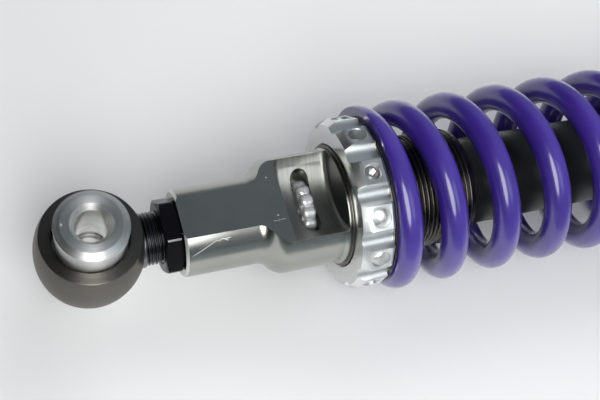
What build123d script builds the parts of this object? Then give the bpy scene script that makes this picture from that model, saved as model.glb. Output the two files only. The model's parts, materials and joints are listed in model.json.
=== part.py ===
import os
from math import asin, cos, pi, radians, sin, sqrt

from build123d import *

os.makedirs("parts", exist_ok=True)

# Motorcycle rear shock absorber lying along X. The origin is the middle of the lower eye, X runs to
# the upper eye, and Z runs along both eye bolts. Millimetres.

# Clearances
fixed_gap = 0.02    # radial, between pieces that are screwed or pressed together
running_gap = 0.05  # radial, between pieces that turn or slide in each other
thread_gap = 0.1    # radial, between a thread drawn plain and its nut
face_gap = 0.05     # between flat faces of pieces that move against each other

# Eyes and their spherical bearings
eye_half_width = 13.7
eye_face_r = 20.3
eye_middle_r = 22.4
eye_recess_r = 15.4
race_r = 15.0
race_width = 10.0
ball_r = 12.0
ball_width = 14.0
ball_hole_r = 8.5
clip_thickness = 1.2
clip_depth = 0.7
clip_inner_r = 12.9

# Top-hat spacers that stand out of the bearing balls
bolt_hole_r = 6.6
mounting_width = 52.6
spacer_r = 14.87
spacer_foot_r = 14.0
spacer_bevel = (2.7, 1.9)
spacer_mouth = (2.0, 2.7)
spigot_setback = 3.0      # each spacer's spigot stops this far from the middle of the ball
spigot_bevel = 0.5

# Length adjuster: threaded shank of the lower eye and its lock nut
shank_thread_r = 10.9
shank_end = 54.0
collar_r = 11.5           # plain collar between the eye and the first thread
collar_setback = 1.1
lock_nut_across_flats = 28.8
lock_nut_thickness = 7.4

# Shaft bracket, machined from one bar
bracket_start = 35.4
neck_r = 18.4
neck_length = 30.6
shoulder_length = 12.0
body_r = 24.4
flat_height = 15.9
scoop_start = 79.3
scoop_width = 23.4
scoop_depth = 7.3         # height of the scoop floor above the axis
scoop_corner_r = 2.5
bracket_lip = 1.0
bracket_lip_r = body_r + 0.8
eye_thread_depth = 25.0
spigot_r = 22.5
spigot_bore_r = 17.5
spigot_length = 6.0
rod_socket_depth = 7.2

# Rebound adjuster
slot_width = 8.0
slot_length = 29.0
slot_centre = 90.3
wheel_r = 12.8
wheel_width = 5.8
wheel_lobes = 13
adjuster_r = 3.5
adjuster_start = 80.5
needle_r = 2.2
detent_ball_r = 1.5
detent_pitch_r = 9.4

# Threaded sleeve and the preload ring that turns on it
sleeve_length = 57.8
sleeve_thread_r = 25.0
sleeve_bore_r = 20.6
sleeve_lip_r = 26.4
sleeve_lip = 0.9
ring_width = 13.65
ring_overhang = 0.2       # how far the ring reaches over the sleeve's lip
ring_land_height = 36.8   # from the axis to the flat lands
ring_lands = 12
ring_first_land = 5.0     # degrees from +Y
ring_face_r = ring_land_height - 1.6
ring_groove_r = 4.6
ring_groove_depth = 3.2
ring_hole_r = 4.0
ring_hole_depth = 5.5
set_screw_land = 3        # counted from the first land
set_screw_r = 3.0
set_screw_sink = 0.9
set_screw_socket = 3.0
thrust_washer_thickness = 0.5
seat_flange = 0.8
seat_flange_r = 36.4
seat_spigot_length = 5.0

# Main spring
spring_length = 160.2
spring_turns = 7.75
spring_mean_r = 34.9
wire_r = 5.93
spring_bore_gap = 0.6
tip_angle = 255.0         # degrees from +Y, at the lower end
tip_sink = 3.3            # how far the wire's centre starts inside the ground face
closed_turns = 0.764
easing_turns = 0.5
closed_gap = 1.1          # between closed coils, from wire to wire
spring_steps = 12         # straight pieces in one turn

# Rod and piston
rod_r = 7.0
rod_bore_r = 2.6
tenon_r = 5.0
bump_stop_r = 12.5
bump_stop_length = 11.0
top_out_r = 11.5
top_out_length = 5.0
top_out_room = 12.6       # rod travel that is left outwards at rest, for the preload ring
piston_length = 12.0
piston_gap = 0.15
piston_ports = 6
shim_stack = 1.2
piston_nut_length = 6.5
piston_nut_r = 8.5

# Damper body
tube_r = 19.2
tube_bore_r = 17.0
tube_inset = 6.0          # how far the tube's mouth stands inside the sleeve
seal_head_length = 20.0
seal_head_inset = 2.5
bush_length = 8.0
seal_width = 4.5
seal_r = 10.5
floating_piston_length = 12.0
floating_piston_place = 112.0   # from the tube's mouth
upper_seat_thickness = 6.5
upper_seat_r = 38.0
tube_tail = 20.0          # tube beyond the upper spring seat
head_plug = 10.0
head_shoulder = 8.0
head_neck_r = 15.0
upper_eye_offset = 28.9   # from the tube's end to the upper eye
fill_plug_r = 3.0

# Places along X that follow from the sizes above
neck_end = bracket_start + neck_length
shoulder_end = neck_end + shoulder_length
scoop_end = scoop_start + scoop_width
bracket_end = scoop_end + bracket_lip
sleeve_end = bracket_end + sleeve_length
ring_start = bracket_end + sleeve_lip - ring_overhang
ring_end = ring_start + ring_width
washer_start = ring_end + face_gap
seat_start = washer_start + thrust_washer_thickness
spring_start = seat_start + seat_flange
spring_end = spring_start + spring_length
tube_start = sleeve_end - tube_inset
tube_end = spring_end + upper_seat_thickness + tube_tail
seal_head_start = tube_start + seal_head_inset
seal_head_end = seal_head_start + seal_head_length
rod_start = bracket_end - rod_socket_depth
top_out_start = seal_head_end + top_out_room
shims_start = top_out_start + top_out_length
piston_start = shims_start + shim_stack
piston_end = piston_start + piston_length
piston_nut_start = piston_end + shim_stack
rod_end = piston_nut_start + piston_nut_length + 1.0
upper_eye = tube_end + upper_eye_offset
plug_start = tube_end - head_plug


def lathe_x(points):
    """A solid turned about the X axis from (x, radius) points."""
    return revolve(make_face(Polyline(*points, close=True)), Axis.X)


def ring_x(x0, x1, inner, outer, bevel=0.0):
    """A ring about the X axis with bevelled outer edges."""
    profile = [(x0, inner), (x1, inner), (x1, outer), (x0, outer)]
    if bevel:
        profile[2:] = [(x1, outer - bevel), (x1 - bevel, outer), (x0 + bevel, outer), (x0, outer - bevel)]
    return lathe_x(profile)


def rod_x(x0, x1, r):
    """A plain round bar along X."""
    return Pos((x0 + x1) / 2, 0, 0) * Rot(0, 90, 0) * Cylinder(r, x1 - x0)


def lathe_y(points):
    """A solid turned about the Y axis from (radius, y) points."""
    return revolve(make_face(Polyline(*points, close=True)), Axis.Y)


def lathe_z(points):
    """A solid turned about the Z axis from (radius, z) points."""
    return revolve(Plane.XZ * make_face(Polyline(*points, close=True)), Axis.Z)


def around_x(shape, angle):
    """The shape turned about X, from +Y at 0 degrees towards +Z."""
    return Rot(angle, 0, 0) * shape


def radial_hole(x, outer, inner, r):
    """A bar along +Y between two radii, to be turned into place with around_x."""
    return Pos(x, (outer + inner) / 2, 0) * Rot(90, 0, 0) * Cylinder(r, outer - inner)


def save(name, shape):
    export_step(shape, f"parts/{name}.step")


# Eyes


def eye_barrel():
    """The crowned ring of an eye, about Z at the origin, with the bearing's housing and clip grooves."""
    crown = ThreePointArc(
        (eye_face_r, -eye_half_width), (eye_middle_r, 0), (eye_face_r, eye_half_width))
    sides = Polyline(
        (eye_face_r, eye_half_width), (0, eye_half_width), (0, -eye_half_width), (eye_face_r, -eye_half_width))
    return revolve(Plane.XZ * make_face([crown, sides]), Axis.Z)


def eye_hollow():
    """What is bored out of an eye: housing, clip grooves and recesses."""
    land = race_width / 2
    groove = land + clip_thickness + face_gap
    points = [(0, 0), (race_r, 0), (race_r, land), (race_r + clip_depth, land), (race_r + clip_depth, groove)]
    points += [(eye_recess_r, groove), (eye_recess_r, eye_half_width - 0.3)]
    points += [(eye_recess_r + 0.3, eye_half_width), (eye_recess_r + 0.3, eye_half_width + 1), (0, eye_half_width + 1)]
    half = lathe_z(points)
    return half + mirror(half, Plane.XY)


def bearing_race():
    """Outer race with a spherical bore."""
    race = Cylinder(race_r - fixed_gap, race_width)
    return race - Sphere(ball_r + running_gap)


def bearing_ball():
    """Ball cut flat on both sides, with the spacer hole."""
    return (Sphere(ball_r) & Box(3 * ball_r, 3 * ball_r, ball_width)) - Cylinder(ball_hole_r, 2 * ball_width)


def bearing_clips():
    """Two snap rings, each open at the top of the ring for its pliers holes."""
    z = (race_width + clip_thickness) / 2 + face_gap / 2
    ring = Cylinder(race_r + clip_depth - fixed_gap, clip_thickness) - Cylinder(clip_inner_r, 2 * clip_thickness)
    lug_x = (clip_inner_r + race_r) / 2
    for side in (1, -1):
        ring -= Pos(lug_x, side * 3.2, 0) * Cylinder(0.8, 2 * clip_thickness)
    ring -= Pos(race_r, 0, 0) * Box(8, 3.0, 2 * clip_thickness)
    return Pos(0, 0, z) * ring, Pos(0, 0, -z) * ring


def spacer():
    """Upper top-hat spacer: a spigot in the ball, a relief for the bearing's tilt and a bevelled head."""
    top = mounting_width / 2
    ball_face = ball_width / 2 + fixed_gap
    relief = 1.2
    mouth_r, mouth_depth = spacer_mouth
    bevel_r, bevel_depth = spacer_bevel
    spigot = ball_hole_r - running_gap
    return lathe_z([
        (bolt_hole_r, spigot_setback + spigot_bevel), (bolt_hole_r + spigot_bevel, spigot_setback),
        (spigot, spigot_setback), (spigot, ball_face), (spacer_foot_r - 3, ball_face),
        (spacer_foot_r, ball_face + relief), (spacer_r, top - bevel_depth), (spacer_r - bevel_r, top),
        (bolt_hole_r + mouth_r, top), (bolt_hole_r, top - mouth_depth)])


def save_bearing(place, x):
    """The bearing pieces and spacers of one eye."""
    at = Pos(x, 0, 0)
    upper = spacer()
    save(f"{place}_bearing_race", at * bearing_race())
    save(f"{place}_bearing_ball", at * bearing_ball())
    save(f"{place}_bearing_clips", Compound([at * clip for clip in bearing_clips()]))
    save(f"{place}_spacer_top", at * upper)
    save(f"{place}_spacer_bottom", at * mirror(upper, Plane.XY))


def rod_end_eye():
    """Lower eye with the threaded shank that sets the shock's length."""
    collar_end = eye_middle_r - collar_setback
    shank = lathe_x([
        (0, 0), (0, collar_r), (collar_end - 0.3, collar_r), (collar_end, collar_r - 0.3), (collar_end, shank_thread_r),
        (shank_end - 1, shank_thread_r), (shank_end, shank_thread_r - 1), (shank_end, 0)])
    return eye_barrel() + shank - eye_hollow()


def lock_nut():
    """Hexagon nut between the lower eye and the bracket, bevelled at both ends."""
    start = bracket_start - face_gap - lock_nut_thickness
    end = bracket_start - face_gap
    corner = lock_nut_across_flats / sqrt(3)
    sketch = RegularPolygon(corner, 6, rotation=0)
    prism = Pos(start, 0, 0) * Rot(0, 90, 0) * Rot(0, 0, 90) * extrude(sketch, lock_nut_thickness)
    bevel = corner - 0.8 * lock_nut_across_flats / 2 - 0.2 * corner
    limit = lathe_x([
        (start, 0), (start, corner - bevel), (start + bevel / 2, corner), (end - bevel / 2, corner),
        (end, corner - bevel), (end, 0)])
    return (prism & limit) - rod_x(start - 1, end + 1, shank_thread_r + thread_gap)


# Shaft bracket and rebound adjuster


def scoop():
    """A disc cutter's trough across the top of the bracket, with rounded corners."""
    cutter_r = body_r
    disc = Rot(0, 90, 0) * Cylinder(cutter_r, scoop_width)
    disc = fillet(disc.edges(), scoop_corner_r)
    return Pos((scoop_start + scoop_end) / 2, 0, scoop_depth + cutter_r) * disc


def shaft_bracket():
    """Bar from the eye thread to the sleeve: slim neck with flats, wide body with scoops and wheel slot."""
    bend = shoulder_length / 2
    rise = body_r - neck_r
    lean = (bend**2 + (rise / 2) ** 2) / rise
    sweep = asin(bend / lean)
    mid = (neck_end + bend, neck_r + rise / 2)
    low = ThreePointArc(
        (neck_end, neck_r),
        (neck_end + lean * sin(sweep / 2), neck_r + lean * (1 - cos(sweep / 2))), mid)
    high = ThreePointArc(
        mid, (shoulder_end - lean * sin(sweep / 2), body_r - lean * (1 - cos(sweep / 2))), (shoulder_end, body_r))
    flare = scoop_end - 1.5
    tail = Polyline(
        (shoulder_end, body_r), (flare, body_r), (scoop_end, bracket_lip_r), (bracket_end, bracket_lip_r),
        (bracket_end, spigot_r), (bracket_end + spigot_length, spigot_r), (bracket_end + spigot_length, spigot_bore_r),
        (bracket_end, spigot_bore_r), (bracket_end, 0), (bracket_start, 0), (bracket_start, neck_r - 1),
        (bracket_start + 1, neck_r), (neck_end, neck_r))
    bar = revolve(make_face([low, high, tail]), Axis.X)
    eye_bore_r = shank_thread_r + thread_gap
    bore_end = bracket_start + eye_thread_depth
    bar -= lathe_x([
        (bracket_start - 1, 0), (bracket_start - 1, eye_bore_r + 0.8), (bracket_start, eye_bore_r + 0.8),
        (bracket_start + 0.8, eye_bore_r), (bore_end, eye_bore_r), (bore_end + eye_bore_r / 2, 0)])
    bar -= rod_x(rod_start, bracket_end + 1, rod_r + fixed_gap)
    bar -= rod_x(adjuster_start - 0.5, rod_start + 1, adjuster_r + running_gap)
    flat_end = scoop_start + scoop_corner_r
    flat_box = Box(flat_end - bracket_start + 2, 4 * body_r, body_r)
    flat_x = (flat_end + bracket_start - 2) / 2
    for side in (1, -1):
        bar -= Pos(flat_x, 0, side * (flat_height + body_r / 2)) * flat_box
        bar -= scoop() if side > 0 else mirror(scoop(), Plane.XY)
    slot = extrude(SlotOverall(slot_length, slot_width, rotation=90), 2 * body_r, both=True)
    bar -= Pos(slot_centre, 0, 0) * slot
    hole_start = slot_centre + slot_width / 2 - 1
    bar -= Pos(0, -detent_pitch_r, 0) * rod_x(hole_start, hole_start + 6.5, detent_ball_r + running_gap)
    return bar


def adjuster_wheel():
    """Thumb wheel with a scalloped, crowned rim, and detent dimples on the side that the ball rides."""
    half = wheel_width / 2
    crown_drop = 0.7
    rim = ThreePointArc((-half, wheel_r - crown_drop), (0, wheel_r), (half, wheel_r - crown_drop))
    sides = Polyline((half, wheel_r - crown_drop), (half, 0), (-half, 0), (-half, wheel_r - crown_drop))
    wheel = revolve(make_face([rim, sides]), Axis.X)
    pitch = 360 / wheel_lobes
    gap_r = wheel_r * sin(radians(pitch / 2)) * 0.42
    notch = Rot(0, 90, 0) * Cylinder(gap_r, 2 * wheel_width)
    for lobe in range(wheel_lobes):
        wheel -= around_x(Pos(0, wheel_r + gap_r * 0.15, 0) * notch, 90 + pitch * (lobe + 0.5))
        wheel -= around_x(Pos(half + 0.7, detent_pitch_r, 0) * Sphere(detent_ball_r - 0.3), 180 + pitch * lobe)
    return Pos(slot_centre, 0, 0) * wheel - rod_x(slot_centre - half - 1, slot_centre + half + 1, adjuster_r + fixed_gap)


def adjuster_shaft():
    """Shaft through the wheel that carries the long rebound needle down the hollow rod."""
    journal_end = rod_start - 0.2
    tip = piston_end - 2
    return lathe_x([
        (adjuster_start, 0), (adjuster_start, adjuster_r - 0.5), (adjuster_start + 0.5, adjuster_r),
        (journal_end, adjuster_r), (journal_end, needle_r), (tip - 5, needle_r), (tip, 0.5), (tip, 0)])


def detent_ball():
    """Ball that clicks in the wheel's dimples, carried in the bracket."""
    wheel_face = slot_centre + wheel_width / 2
    return Pos(wheel_face + 0.3 + detent_ball_r, -detent_pitch_r, 0) * Sphere(detent_ball_r)


def detent_spring():
    """Small coil spring behind the ball, drawn as its outer sleeve."""
    start = slot_centre + wheel_width / 2 + 0.3 + 1.85 * detent_ball_r
    end = slot_centre + slot_width / 2 + 5.4
    return Pos(0, -detent_pitch_r, 0) * ring_x(start, end, 0.6 * detent_ball_r, detent_ball_r - 0.1)


# Sleeve, preload ring and spring seats


def threaded_sleeve():
    """Spring carrier screwed on the bracket's spigot, with a thin lip that stops the ring."""
    counterbore = bracket_end + spigot_length + 0.3
    return lathe_x([
        (bracket_end, spigot_r + fixed_gap), (bracket_end, sleeve_lip_r - 0.2), (bracket_end + 0.2, sleeve_lip_r),
        (bracket_end + sleeve_lip, sleeve_lip_r), (bracket_end + sleeve_lip, sleeve_thread_r - 1),
        (ring_start + 1, sleeve_thread_r - 1), (ring_start + 2, sleeve_thread_r),
        (sleeve_end - 1, sleeve_thread_r), (sleeve_end, sleeve_thread_r - 1), (sleeve_end, sleeve_bore_r),
        (counterbore, sleeve_bore_r), (counterbore, spigot_r + fixed_gap)])


def land_angle(index):
    return ring_first_land + index * 360 / ring_lands


def preload_ring():
    """Ring nut with flat lands, half-round spanner grooves, blind tommy-bar holes and a locking screw."""
    bore_r = sleeve_thread_r + thread_gap
    corner = ring_land_height / cos(pi / ring_lands)
    mouth = sleeve_lip_r + 0.6
    front = 1.4
    blank = lathe_x([
        (ring_start, mouth), (ring_start, ring_face_r), (ring_start + front, ring_land_height), (ring_start + front, corner),
        (ring_end, corner), (ring_end, bore_r), (ring_start + mouth - bore_r, bore_r)])
    sketch = RegularPolygon(corner, ring_lands, rotation=0)
    prism = Pos(ring_start - 1, 0, 0) * Rot(0, 90, 0) * extrude(sketch, ring_width + 2)
    prism = around_x(prism, ring_first_land + 180 / ring_lands)
    bevel = lathe_x([
        (ring_start, 0), (ring_start, ring_face_r), (ring_start + 3.2, ring_land_height + 0.4), (ring_start + 3.2, 2 * corner),
        (ring_end - 1.2, 2 * corner), (ring_end - 1.2, ring_land_height + 0.4), (ring_end, ring_land_height - 0.8),
        (ring_end, 0)])
    ring = blank & prism & bevel
    middle = (ring_start + ring_end) / 2 + 0.5
    groove = Pos(middle, ring_land_height - ring_groove_depth + ring_groove_r, 0)
    groove *= Rot(0, 90, 0) * Cylinder(ring_groove_r, 2 * ring_width)
    floor = ring_land_height - ring_hole_depth
    drill = lathe_y([
        (0, floor - ring_hole_r * 0.6), (ring_hole_r, floor), (ring_hole_r, ring_land_height + 1),
        (0, ring_land_height + 1)])
    screw_hole = radial_hole(0, ring_land_height + 1, bore_r - 1, set_screw_r + fixed_gap)
    screw_hole += lathe_y([
        (0, ring_land_height - set_screw_sink), (set_screw_r, ring_land_height - set_screw_sink),
        (set_screw_r + set_screw_sink, ring_land_height), (set_screw_r + set_screw_sink, ring_land_height + 1),
        (0, ring_land_height + 1)])
    for land in range(ring_lands):
        hole = screw_hole if land == set_screw_land else drill
        ring -= around_x(Pos(middle, 0, 0) * hole, land_angle(land))
        ring -= around_x(groove, land_angle(land + 0.5))
    return ring


def ring_set_screw():
    """Grub screw with a hexagon socket, and the soft pad that it presses on the thread."""
    middle = (ring_start + ring_end) / 2 + 0.5
    top = ring_land_height - set_screw_sink
    pad_top = sleeve_thread_r + 2.2
    screw = lathe_y([(0, pad_top), (set_screw_r, pad_top), (set_screw_r, top - 0.6), (set_screw_r - 0.6, top), (0, top)])
    socket = extrude(RegularPolygon(set_screw_socket / sqrt(3), 6), 3.0)
    screw -= Pos(0, top, 0) * Rot(90, 0, 0) * socket
    pad = lathe_y([
        (0, sleeve_thread_r + thread_gap), (set_screw_r - 0.4, sleeve_thread_r + thread_gap),
        (set_screw_r - 0.4, pad_top), (0, pad_top)])
    place = Rot(land_angle(set_screw_land), 0, 0) * Pos(middle, 0, 0)
    return place * screw, place * pad


def thrust_washer():
    return ring_x(washer_start, seat_start, sleeve_thread_r + 1, ring_land_height - 1.6)


def lower_spring_seat():
    """Flanged seat that keeps the spring clear of the turning ring and centres its first coil."""
    bore = sleeve_thread_r + 0.6
    spigot = spring_mean_r - wire_r - spring_bore_gap
    end = spring_start + seat_spigot_length
    return lathe_x([
        (seat_start, bore), (seat_start, seat_flange_r), (spring_start, seat_flange_r), (spring_start, spigot),
        (end - 1, spigot), (end, spigot - 1), (end, bore)])


# Main spring


def spring_pitch():
    """The open coils' pitch that gives the spring its length between ground faces."""
    closed_pitch = 2 * wire_r + closed_gap
    rise = spring_length + 2 * tip_sink
    slow = (2 * closed_turns + easing_turns) * closed_pitch
    return (rise - slow) / (spring_turns - 2 * closed_turns - easing_turns)


def spring_rise(turn):
    """How far the wire's centre has climbed after so many turns from its lower tip."""
    if turn > spring_turns / 2:
        return spring_length + 2 * tip_sink - spring_rise(spring_turns - turn)
    closed_pitch = 2 * wire_r + closed_gap
    pitch = spring_pitch()
    ease = min(max(turn - closed_turns, 0), easing_turns)
    open_turns = max(turn - closed_turns - easing_turns, 0)
    eased = closed_pitch * ease + (pitch - closed_pitch) * ease**2 / (2 * easing_turns)
    return closed_pitch * min(turn, closed_turns) + eased + pitch * open_turns


def spring_point(turn, spread):
    angle = radians(tip_angle + 360 * turn)
    r = spring_mean_r * spread
    return Vector(spring_start - tip_sink + spring_rise(turn), r * cos(angle), r * sin(angle))


def main_spring():
    """Round wire, closed and ground at both ends, swept in short straight steps."""
    steps = round(spring_steps * spring_turns)
    # Each straight piece lies on the round spring in its middle and stands out at its corners
    spread = 1 / cos(pi / spring_steps)
    points = [spring_point(spring_turns * index / steps, spread) for index in range(steps + 1)]
    start = Plane(origin=points[0], z_dir=points[1] - points[0])
    wire = sweep(start * Circle(wire_r), path=Polyline(*points), transition=Transition.RIGHT)
    reach = 2 * (spring_mean_r + wire_r) + 4
    grinder = Box(4 * wire_r, reach, reach)
    wire -= Pos(spring_start - 2 * wire_r, 0, 0) * grinder
    return wire - Pos(spring_end + 2 * wire_r, 0, 0) * grinder


# Rod, piston and what rides on them


def piston_rod():
    """Hollow chromed rod from the bracket to the piston, turned down to a tenon for the piston."""
    return lathe_x([
        (rod_start, rod_bore_r), (rod_start, rod_r - 0.6), (rod_start + 0.6, rod_r), (shims_start, rod_r),
        (shims_start, tenon_r), (rod_end - 0.5, tenon_r), (rod_end, tenon_r - 0.5), (rod_end, rod_bore_r)])


def bump_stop():
    """Waisted foam buffer on the rod against the bracket."""
    inner = rod_r + running_gap
    end = bracket_end + bump_stop_length
    waist = bump_stop_r - 1.8
    middle = (bracket_end + end) / 2
    return lathe_x([
        (bracket_end, inner), (bracket_end, bump_stop_r), (middle - 2, bump_stop_r), (middle, waist),
        (middle + 2, bump_stop_r), (end - 2.5, bump_stop_r - 1), (end, bump_stop_r - 3), (end, inner)])


def top_out_bumper():
    return ring_x(top_out_start, shims_start, rod_r + running_gap, top_out_r, 1.0)


def shim_pile(start, end, big, small):
    """A stack of thin washers that steps down in size away from the piston."""
    count = 4
    thickness = (end - start) / count
    profile = [(start, tenon_r + fixed_gap)]
    for index in range(count):
        r = small + (big - small) * index / (count - 1)
        profile += [(start + index * thickness, r), (start + (index + 1) * thickness, r)]
    profile.append((end, tenon_r + fixed_gap))
    return lathe_x(profile)


def rebound_shims():
    return shim_pile(shims_start, piston_start, tube_bore_r - 4.0, tenon_r + 3)


def compression_shims():
    pile = shim_pile(0, shim_stack, tube_bore_r - 4.5, tenon_r + 3)
    return Pos(piston_nut_start, 0, 0) * mirror(pile, Plane.YZ)


def piston_band_room():
    return piston_start + piston_length * 0.25, piston_end - piston_length * 0.25


def piston():
    """Ported piston with a groove for its band."""
    outer = tube_bore_r - piston_gap
    band_start, band_end = piston_band_room()
    body = lathe_x([
        (piston_start, tenon_r + fixed_gap), (piston_start, outer - 0.4), (piston_start + 0.4, outer),
        (band_start, outer), (band_start, outer - 1.2), (band_end, outer - 1.2), (band_end, outer),
        (piston_end - 0.4, outer), (piston_end, outer - 0.4), (piston_end, tenon_r + fixed_gap)])
    port = Pos(0, (outer + tenon_r) / 2, 0) * rod_x(piston_start - 1, piston_end + 1, 1.5)
    for index in range(piston_ports):
        body -= around_x(port, index * 360 / piston_ports)
    return body


def piston_band():
    band_start, band_end = piston_band_room()
    outer = tube_bore_r - running_gap
    return ring_x(band_start + face_gap, band_end - face_gap, tube_bore_r - piston_gap - 1.15, outer)


def piston_nut():
    end = piston_nut_start + piston_nut_length
    sketch = RegularPolygon(piston_nut_r, 6)
    prism = Pos(piston_nut_start, 0, 0) * Rot(0, 90, 0) * extrude(sketch, piston_nut_length)
    return prism - rod_x(piston_nut_start - 1, end + 1, tenon_r + fixed_gap)


# Damper body


def gland_groove():
    """Where the snap ring's groove starts and ends, right before the seal head."""
    return seal_head_start - clip_thickness - 2 * face_gap, seal_head_start


def damper_tube():
    """Body tube, grooved inside for the seal head's clip and outside for the spring seat's clip."""
    inside, inside_end = gland_groove()
    outside = spring_end + upper_seat_thickness
    outside_end = outside + clip_thickness + 2 * face_gap
    return lathe_x([
        (tube_start, tube_bore_r + 0.6), (tube_start, tube_r - 0.5), (tube_start + 0.5, tube_r), (outside, tube_r),
        (outside, tube_r - clip_depth), (outside_end, tube_r - clip_depth), (outside_end, tube_r), (tube_end, tube_r),
        (tube_end, tube_bore_r), (inside_end, tube_bore_r), (inside_end, tube_bore_r + clip_depth),
        (inside, tube_bore_r + clip_depth), (inside, tube_bore_r + 0.6)])


def gland_clip():
    """Snap ring that holds the seal head in the tube."""
    start, end = gland_groove()
    ring = ring_x(start + face_gap, end - face_gap, tube_bore_r - 1.4, tube_bore_r + clip_depth - fixed_gap)
    return ring - Pos(end, 0, tube_bore_r) * Box(6, 3, 8)


def seat_clip():
    """Snap ring outside the tube that carries the upper spring seat."""
    start = spring_end + upper_seat_thickness + face_gap
    ring = ring_x(start, start + clip_thickness, tube_r - clip_depth + fixed_gap, tube_r + 1.8)
    return ring - Pos(start, 0, -tube_r) * Box(6, 3, 8)


def seal_head():
    """Rod guide in the tube's mouth, stepped for the wiper, the bush and the oil seal."""
    outer = tube_bore_r - running_gap
    start, end = seal_head_start, seal_head_end
    ring_groove = (start + end) / 2
    body = lathe_x([
        (start, rod_r + 0.3), (start, outer - 0.5), (start + 0.5, outer), (ring_groove - 1.5, outer),
        (ring_groove - 1.5, outer - 1.6), (ring_groove + 1.5, outer - 1.6), (ring_groove + 1.5, outer), (end, outer),
        (end, rod_r + 0.3)])
    body -= rod_x(start - 1, start + seal_width, seal_r + fixed_gap)
    body -= rod_x(end - seal_width, end + 1, seal_r + fixed_gap)
    return body - rod_x(ring_groove - bush_length / 2, ring_groove + bush_length / 2, rod_r + 1.5 + fixed_gap)


def seal_head_o_ring():
    middle = (seal_head_start + seal_head_end) / 2
    return ring_x(middle - 1.2, middle + 1.2, tube_bore_r - 1.6, tube_bore_r - fixed_gap)


def rod_seal(start, lip_side):
    """A lipped rod seal, hollowed on the side its lip faces."""
    end = start + seal_width
    body = ring_x(start, end, rod_r + running_gap, seal_r)
    face = end if lip_side > 0 else start
    return body - ring_x(face - 1.5, face + 1.5, rod_r + 1.2, seal_r - 1.0)


def rod_bush():
    middle = (seal_head_start + seal_head_end) / 2
    return ring_x(middle - bush_length / 2, middle + bush_length / 2, rod_r + running_gap, rod_r + 1.5)


def upper_spring_seat():
    """Flanged ring on the tube that takes the spring's upper end."""
    spigot = spring_mean_r - wire_r - spring_bore_gap
    end = spring_end + upper_seat_thickness
    bore = tube_r + fixed_gap
    return lathe_x([
        (spring_end - seat_spigot_length, bore), (spring_end - seat_spigot_length, spigot - 1),
        (spring_end - seat_spigot_length + 1, spigot), (spring_end, spigot), (spring_end, upper_seat_r),
        (end - 3, upper_seat_r), (end, upper_seat_r - 3), (end, bore)])


def damper_head():
    """End cap with the upper eye, screwed into the tube over an O-ring."""
    plug_r = tube_bore_r - fixed_gap
    groove = plug_start + head_plug / 2
    shoulder = tube_end + head_shoulder
    turned = lathe_x([
        (plug_start, 0), (plug_start, plug_r - 0.8), (plug_start + 0.8, plug_r), (groove - 1.5, plug_r),
        (groove - 1.5, plug_r - 1.6), (groove + 1.5, plug_r - 1.6), (groove + 1.5, plug_r), (tube_end, plug_r),
        (tube_end, tube_r), (shoulder, tube_r), (shoulder + 3, head_neck_r), (upper_eye, head_neck_r), (upper_eye, 0)])
    slab = Pos(tube_end, 0, 0) * Box(4 * upper_eye_offset, 4 * tube_r, 2 * eye_half_width - 2)
    neck = turned & slab
    front = turned & (Pos(shoulder - 2 * tube_r, 0, 0) * Box(4 * tube_r, 4 * tube_r, 4 * tube_r))
    head = front + neck + Pos(upper_eye, 0, 0) * (eye_barrel())
    head -= Pos(upper_eye, 0, 0) * eye_hollow()
    fill = tube_end + head_shoulder / 2
    head -= Pos(fill, 0, tube_r) * Cylinder(fill_plug_r + fixed_gap, 12)
    head -= Pos(fill, 0, tube_r / 2) * Cylinder(1, tube_r)
    return head - rod_x(plug_start - 1, fill + 1, 1)


def head_o_ring():
    middle = plug_start + head_plug / 2
    return ring_x(middle - 1.2, middle + 1.2, tube_bore_r - 1.6, tube_bore_r - fixed_gap)


def gas_fill_plug():
    """Socket-head plug of the gas chamber, on top of the head."""
    fill = tube_end + head_shoulder / 2
    top = tube_r - 0.8
    plug = Pos(fill, 0, top - 2.5) * Cylinder(fill_plug_r, 5)
    return plug - Pos(fill, 0, top - 2) * extrude(RegularPolygon(1.5, 6), 3)


def floating_piston():
    """Cup that parts the oil from the gas."""
    start = tube_start + floating_piston_place
    end = start + floating_piston_length
    outer = tube_bore_r - piston_gap
    middle = (start + end) / 2
    return lathe_x([
        (start, 0), (start, outer - 0.5), (start + 0.5, outer), (middle - 1.5, outer), (middle - 1.5, outer - 1.8),
        (middle + 1.5, outer - 1.8), (middle + 1.5, outer), (end, outer), (end, outer - 3), (start + 5, outer - 3),
        (start + 5, 0)])


def floating_piston_ring():
    middle = tube_start + floating_piston_place + floating_piston_length / 2
    return ring_x(middle - 1.2, middle + 1.2, tube_bore_r - piston_gap - 1.75, tube_bore_r - running_gap)


save("rod_end_eye", rod_end_eye())
save("lock_nut", lock_nut())
save_bearing("lower", 0)
save("shaft_bracket", shaft_bracket())
save("adjuster_wheel", adjuster_wheel())
save("adjuster_shaft", adjuster_shaft())
save("detent_ball", detent_ball())
save("detent_spring", detent_spring())
save("threaded_sleeve", threaded_sleeve())
save("preload_ring", preload_ring())
set_screw, screw_pad = ring_set_screw()
save("ring_set_screw", set_screw)
save("set_screw_pad", screw_pad)
save("thrust_washer", thrust_washer())
save("lower_spring_seat", lower_spring_seat())
save("main_spring", main_spring())
save("piston_rod", piston_rod())
save("bump_stop", bump_stop())
save("top_out_bumper", top_out_bumper())
save("rebound_shims", rebound_shims())
save("piston", piston())
save("piston_band", piston_band())
save("compression_shims", compression_shims())
save("piston_nut", piston_nut())
save("damper_tube", damper_tube())
save("gland_clip", gland_clip())
save("seal_head", seal_head())
save("seal_head_o_ring", seal_head_o_ring())
save("rod_wiper", rod_seal(seal_head_start, -1))
save("oil_seal", rod_seal(seal_head_end - seal_width, 1))
save("rod_bush", rod_bush())
save("upper_spring_seat", upper_spring_seat())
save("seat_clip", seat_clip())
save("damper_head", damper_head())
save("head_o_ring", head_o_ring())
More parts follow.
